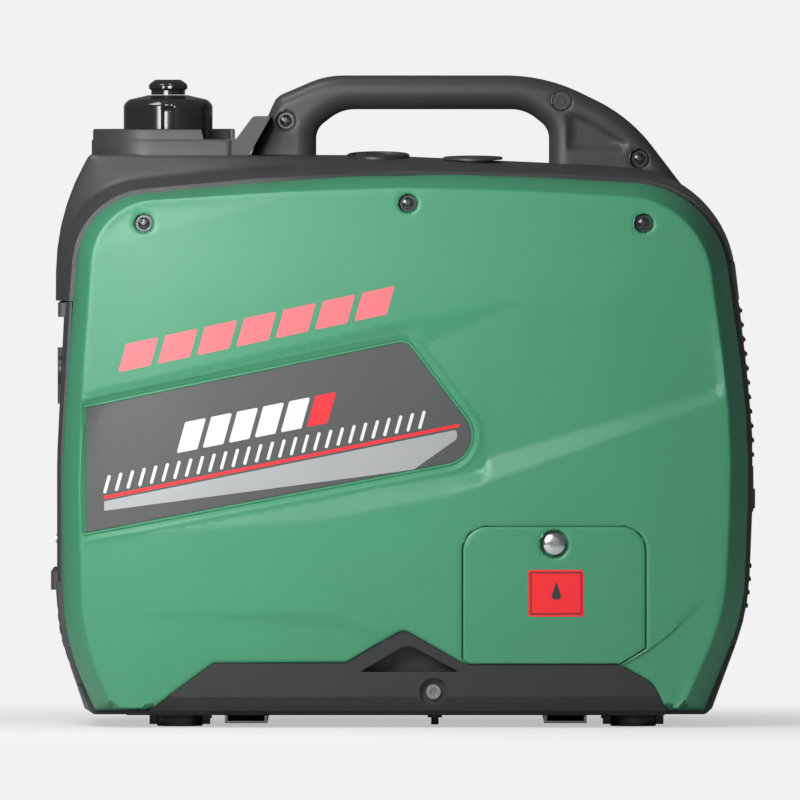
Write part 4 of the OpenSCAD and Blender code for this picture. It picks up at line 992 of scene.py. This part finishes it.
# ---------------------------------------------------------------- filter door
# The same kind of door on the starter side, in front of the air cleaner.
FILTER_SCREW = (100.0, 298.0)
filter_door = mirrored(*door_of(FILTER_DOOR, FILTER_SCREW, [LOWER_TOP, LOWER_FOOT]))
shape("filter_door_look", filter_door, GREEN, "filter_door", ["filter_door"])
shape(
    "filter_door_screw_look", mirrored(*coin_screw(FILTER_SCREW)), CHROME, "filter_door_screw",
    ["filter_door_screw"], sharp=40,
)

# ---------------------------------------------------------------- screws and plugs
# Blackened cross-head screws with washers, a ring-shaped rubber bung over the spark plug, a
# flush plug in the deck and a small cap on each side of the handle.
CROSS = [
    (-0.6, -2.7), (0.6, -2.7), (0.9, -0.9), (2.7, -0.6), (2.7, 0.6), (0.9, 0.9),
    (0.6, 2.7), (-0.6, 2.7), (-0.9, 0.9), (-2.7, 0.6), (-2.7, -0.6), (-0.9, -0.9),
]
PAN_HEAD = 4.4


def cross_screw(spot, seat):
    """A pan head with a cross recess, and a washer under it, standing on the plane seat."""
    cross = np.array(CROSS) + spot
    cross_foot = cross * 0.97 + np.array(spot) * 0.03

    def height(p):
        gap = np.hypot(*(p - spot).T) / PAN_HEAD
        return seat + 3.1 - 1.0 * gap ** 3 - 1.8 * inside(p, cross)

    top = sheet_of(ring_at(spot, PAN_HEAD, 40), [], [cross, cross_foot], [], height, 0.9)
    head = walled(*top, -seat)
    ring = [(4.3, seat), (4.3, seat + 1.6), (5.5, seat + 1.6), (5.8, seat + 1.3), (5.8, seat)]
    return joined(head, turned(ring, spot, 40, axis="y"))


SCREW_STEEL = finish_of("dark_screw", (0.10, 0.10, 0.105), rough=0.3, metal=0.8, grain=900.0, wear=0.3)
HANDLE_SEAT = 12.0
for node, spots, seat in (
    ("panel_screws", PANEL_SCREWS, SCREW_SEAT),
    ("handle_screws", HANDLE_SCREWS, HANDLE_SEAT),
):
    row = joined(*[cross_screw(spot, seat + 0.1) for spot in spots])
    pair = joined(row, mirrored(*row))
    shape(node + "_look", pair, SCREW_STEEL, "case", [node], sharp=40)


def tilted(surface, centre, degrees):
    """A surface tipped over towards the oil side about a centre."""
    points, faces = surface
    c, s = math.cos(math.radians(degrees)), math.sin(math.radians(degrees))
    x, y, z = (points - centre).T
    return np.stack([x, y * c + z * -s, y * s + z * c], 1) + centre, faces


BUNG = [
    (0, 0.6), (19.2, 0.6), (19.8, 1.0), (20.3, 2.1), (21.2, 2.3), (22.0, 1.8), (22.2, 0.8),
    (22.2, -1.6), (15.6, -1.6), (15.6, -5.5), (0, -5.5),
]
bung_centre = np.array([*SPARK_COVER, 401.2])
bung = turned([(r, h + bung_centre[2]) for r, h in BUNG], SPARK_COVER, 96)
shape(
    "spark_plug_cover_look", tilted(bung, bung_centre, 5), BLACK, "spark_plug_cover",
    ["spark_plug_cover"],
)
PLUG = [(0, 0.5), (20.2, 0.5), (20.8, 0.3), (21, -0.1), (21, -1.2), (14.6, -1.2), (14.6, -6), (0, -6)]
plug_centre = np.array([*SERVICE_PLUG, 400.9])
plug = tilted(turned([(r, h + plug_centre[2]) for r, h in PLUG], SERVICE_PLUG, 96), plug_centre, 2.6)
BOSS = [
    (0, 18.6), (2.3, 18.6), (2.5, 18.2), (3.3, 18.2), (3.5, 18.6), (6.3, 18.6), (6.7, 18.2),
    (6.7, 15.8), (0, 15.8),
]
boss = turned(BOSS, BOSS_CAP, 48, axis="y")
plugs = joined(plug, boss, mirrored(*boss))
shape("blanking_plugs_look", plugs, DARK, "case", ["blanking_plugs"])

# ---------------------------------------------------------------- badges
# A grey self-adhesive plate in each panel's recess, printed with plain bars.
BADGE_GREY = finish_of("badge_grey", (0.075, 0.075, 0.077), rough=0.38, vary=0.04)


def on_badge(p):
    """Height of the badge, which lies in the channel."""
    return face_height(p) - 1.3


badge = thicken(*sheet_of(rounded(inset(BADGE, 0.3)), [], [], [], on_badge, 6.0), 0.8)
badges = joined(badge, mirrored(*badge))
shape("side_badges_look", badges, BADGE_GREY, "case", ["side_badges"])
INK = 0.14


def leaning(start, end, height, count, fill, lean=0.28):
    """Corners of a row of leaning bars that stand on a rising line."""
    start, end = np.array(start, float), np.array(end, float)
    up = np.array([lean * height, height])
    out = []
    for k in range(count):
        low = start + (end - start) * k / count
        far = start + (end - start) * (k + fill) / count
        out.append([(*low, 0.7), (*far, 0.7), (*(far + up), 0.7), (*(low + up), 0.7)])
    return out


def printed(corner_lists, surface_height):
    """Thin patches of ink that lie on a surface."""
    def height(p):
        return surface_height(p) + INK

    return joined(*[
        thicken(*sheet_of(rounded(corners), [], [], [], height, 6.0), INK)
        for corners in corner_lists
    ])


WHITE_INK = finish_of("white_ink", (0.72, 0.72, 0.72), rough=0.4, vary=0.03)
RED_INK = finish_of("red_ink", (0.86, 0.012, 0.022), rough=0.45, vary=0.05)
SALMON_INK = finish_of("salmon_ink", (0.95, 0.16, 0.18), rough=0.35, vary=0.04)
SILVER_INK = finish_of("silver_ink", (0.42, 0.43, 0.44), rough=0.32, vary=0.05, metal=0.3)
row = leaning((-160, 193), (-50, 215), 22, 6, 0.80)
ticks = leaning((-212, 164.5), (18, 211.5), 13, 28, 0.30)
line = [[(-211, 160.6, 0.3), (39, 211.6, 0.3), (39.4, 214.0, 0.3), (-211, 163.0, 0.3)]]
wedge = [[(-211, 152.5, 0.5), (7, 181.5, 4), (38, 203.5, 3), (37, 209.6, 1), (-211, 159.2, 0.5)]]
for name, marks, ink in (
    ("badge_blocks", row[:-1] + ticks, WHITE_INK),
    ("badge_red_marks", row[-1:] + line, RED_INK),
    ("badge_wedge", wedge, SILVER_INK),
):
    ink_side = printed(marks, on_badge)
    shape(name, joined(ink_side, mirrored(*ink_side)), ink, "case", ())
bars = leaning((-201, 250), (-7, 292), 20, 7, 0.82)
before_pocket = mirrored(*printed(bars[:5], face_height))
both_rows = joined(printed(bars, face_height), before_pocket)
shape("panel_bars", both_rows, SALMON_INK, "case", ())
LABEL = [(87.5, 78, 2), (127, 78, 2), (127, 111, 2), (87.5, 111, 2)]
DROP = [(104, 92, 3), (107.5, 86, 4), (111, 92, 3), (107.5, 103, 0.4)]
shape("oil_door_label", printed([LABEL], face_height), RED_INK, "oil_door", ())
frame_line = thicken(
    *sheet_of(
        rounded(inset(LABEL, 1.6)), [rounded(inset(LABEL, 2.4))], [], [],
        lambda p: face_height(p) + 2 * INK, 6.0,
    ),
    INK,
)
drop = printed([DROP], lambda p: face_height(p) + INK)
shape("oil_door_label_marks", joined(frame_line, drop), BLACK, "oil_door", ())

# ---------------------------------------------------------------- fuel cap
# A glossy moulded cap with six grips, and a vent knob that turns in it.
GLOSS = finish_of("gloss_black", (0.016, 0.016, 0.017), rough=0.16, grain=600.0, bump=0.02, coat=0.4)
carry(["fuel_cap_plug"], BLACK)
CAP_CROWN = HEIGHT - 14
CAP_SECTION = [
    (0, CAP_CROWN, 0), (14, CAP_CROWN, 2), (28, CAP_CROWN - 3.2, 4),
    (31.5, CAP_CROWN - 7, 3.5), (31.5, CAP_CROWN - 31, 0.5), (28.5, CAP_CROWN - 31, 0.5),
    (28.5, CAP_CROWN - 14, 2), (0, CAP_CROWN - 14, 0),
]
KNOB_SECTION = [
    (0, HEIGHT - 3, 0), (9, HEIGHT - 3, 1.2), (14, HEIGHT - 6.5, 1.2), (14, HEIGHT - 10, 1),
    (12, HEIGHT - 10.3, 0.4), (12, CAP_CROWN + 0.3, 0), (0, CAP_CROWN + 0.3, 0),
]


def gripped(angle, radius, height):
    """Six grooves 18 degrees wide and 2.2 mm deep, which run out below the crown."""
    off = np.abs(np.degrees(angle) % 60 - 30)
    groove = 1 - ease_in(off, 4.5, 9)
    return radius - 2.2 * groove * (1 - ease_in(height, 434, 441)) * (radius > 29)


def scalloped(angle, radius, height):
    """Eight shallow scallops in the knob's rim."""
    return radius - 0.8 * (0.5 + 0.5 * np.cos(8 * angle)) ** 3 * (radius > 12.5)


cap = turned(along(rounded(CAP_SECTION, 8), 1.2), NECK, 240, gripped)
shape("fuel_cap_look", cap, GLOSS, "fuel_cap", ["fuel_cap"])
knob = turned(along(rounded(KNOB_SECTION, 12), 1.5), NECK, 128, scalloped)
shape("vent_knob_look", knob, GLOSS, "vent_knob", ["vent_knob"])

# ---------------------------------------------------------------- floor, light and camera
# A pale floor and surround, a soft key light in front and to the left, a small one from above
# and a weak one from the camera's side. The camera is a long lens level with the panel's middle.
floor_grid = np.array([[(x, y, -0.4) for x in (-4000, 4000)] for y in (-3000, 3000)], float)
floor_mesh = bpy.data.meshes.new("floor")
floor_mesh.from_pydata((floor_grid.reshape(-1, 3) * MM).tolist(), [], [(0, 1, 3, 2)])
floor = bpy.data.objects.new("floor", floor_mesh)
bpy.context.scene.collection.objects.link(floor)
PALE = bpy.data.materials.new("pale_floor")
PALE.use_nodes = True
PALE.node_tree.nodes.remove(PALE.node_tree.nodes["Principled BSDF"])
matt = node_of(PALE, "ShaderNodeBsdfDiffuse", Color=(0.80, 0.80, 0.80, 1))
glow = node_of(PALE, "ShaderNodeEmission", Color=(0.888, 0.888, 0.888, 1))
spot = PALE.node_tree.nodes.new("ShaderNodeTexCoord").outputs["Object"]
gap = PALE.node_tree.nodes.new("ShaderNodeVectorMath")
gap.operation = "LENGTH"
fade = PALE.node_tree.nodes.new("ShaderNodeMapRange")
fade.interpolation_type = "SMOOTHSTEP"
fade.inputs["From Min"].default_value = 0.10
fade.inputs["From Max"].default_value = 0.75
fade.inputs["To Min"].default_value = 0.55
seen = PALE.node_tree.nodes.new("ShaderNodeLightPath").outputs["Is Camera Ray"]
both = PALE.node_tree.nodes.new("ShaderNodeMath")
both.operation = "MULTIPLY"
blend = PALE.node_tree.nodes.new("ShaderNodeMixShader")
wire = PALE.node_tree.links.new
wire(spot, gap.inputs[0])
wire(gap.outputs["Value"], fade.inputs["Value"])
wire(fade.outputs["Result"], both.inputs[0])
wire(seen, both.inputs[1])
wire(both.outputs["Value"], blend.inputs["Fac"])
wire(matt.outputs["BSDF"], blend.inputs[1])
wire(glow.outputs["Emission"], blend.inputs[2])
wire(blend.outputs["Shader"], PALE.node_tree.nodes["Material Output"].inputs["Surface"])
floor_mesh.materials.append(PALE)


def area_light(name, place, target, size, power):
    """A square soft light at a place, facing a target."""
    data = bpy.data.lights.new(name, "AREA")
    data.size = size
    data.energy = power
    lamp = bpy.data.objects.new(name, data)
    lamp.location = place
    lamp.rotation_euler = (Vector(target) - Vector(place)).to_track_quat("-Z", "Y").to_euler()
    bpy.context.scene.collection.objects.link(lamp)


area_light("key", (-0.38, -0.90, 0.55), (-0.10, -0.14, 0.30), 0.42, 8.6)
area_light("top", (-0.50, -0.30, 1.30), (-0.05, -0.12, 0.25), 0.4, 5.0)
area_light("fill", (0.4, -3.0, 0.6), (0.0, -0.14, 0.2), 1.6, 2.0)

world = bpy.data.worlds.new("surround")
world.use_nodes = True
bpy.context.scene.world = world
tree = world.node_tree
back = tree.nodes["Background"]
back.inputs["Color"].default_value = (0.8, 0.81, 0.82, 1)
back.inputs["Strength"].default_value = 0.16
shown = tree.nodes.new("ShaderNodeBackground")
shown.inputs["Color"].default_value = (0.888, 0.888, 0.888, 1)
path = tree.nodes.new("ShaderNodeLightPath")
mix = tree.nodes.new("ShaderNodeMixShader")
tree.links.new(path.outputs["Is Camera Ray"], mix.inputs["Fac"])
tree.links.new(back.outputs["Background"], mix.inputs[1])
tree.links.new(shown.outputs["Background"], mix.inputs[2])
tree.links.new(mix.outputs["Shader"], tree.nodes["World Output"].inputs["Surface"])

DISTANCE = 20.0
FIELD = 0.5632
camera_data = bpy.data.cameras.new("camera")
camera_data.sensor_width = 36
camera_data.lens = 36 * DISTANCE / FIELD
camera_data.clip_end = 100
camera = bpy.data.objects.new("camera", camera_data)
target = Vector((-0.0026, cad_low.y, 0.2306))
camera.location = target + Vector((0, -DISTANCE, DISTANCE * math.tan(math.radians(0.7))))
camera.rotation_euler = (target - camera.location).to_track_quat("-Z", "Y").to_euler()
bpy.context.scene.collection.objects.link(camera)
bpy.context.scene.camera = camera
bpy.context.scene.view_settings.view_transform = "Standard"
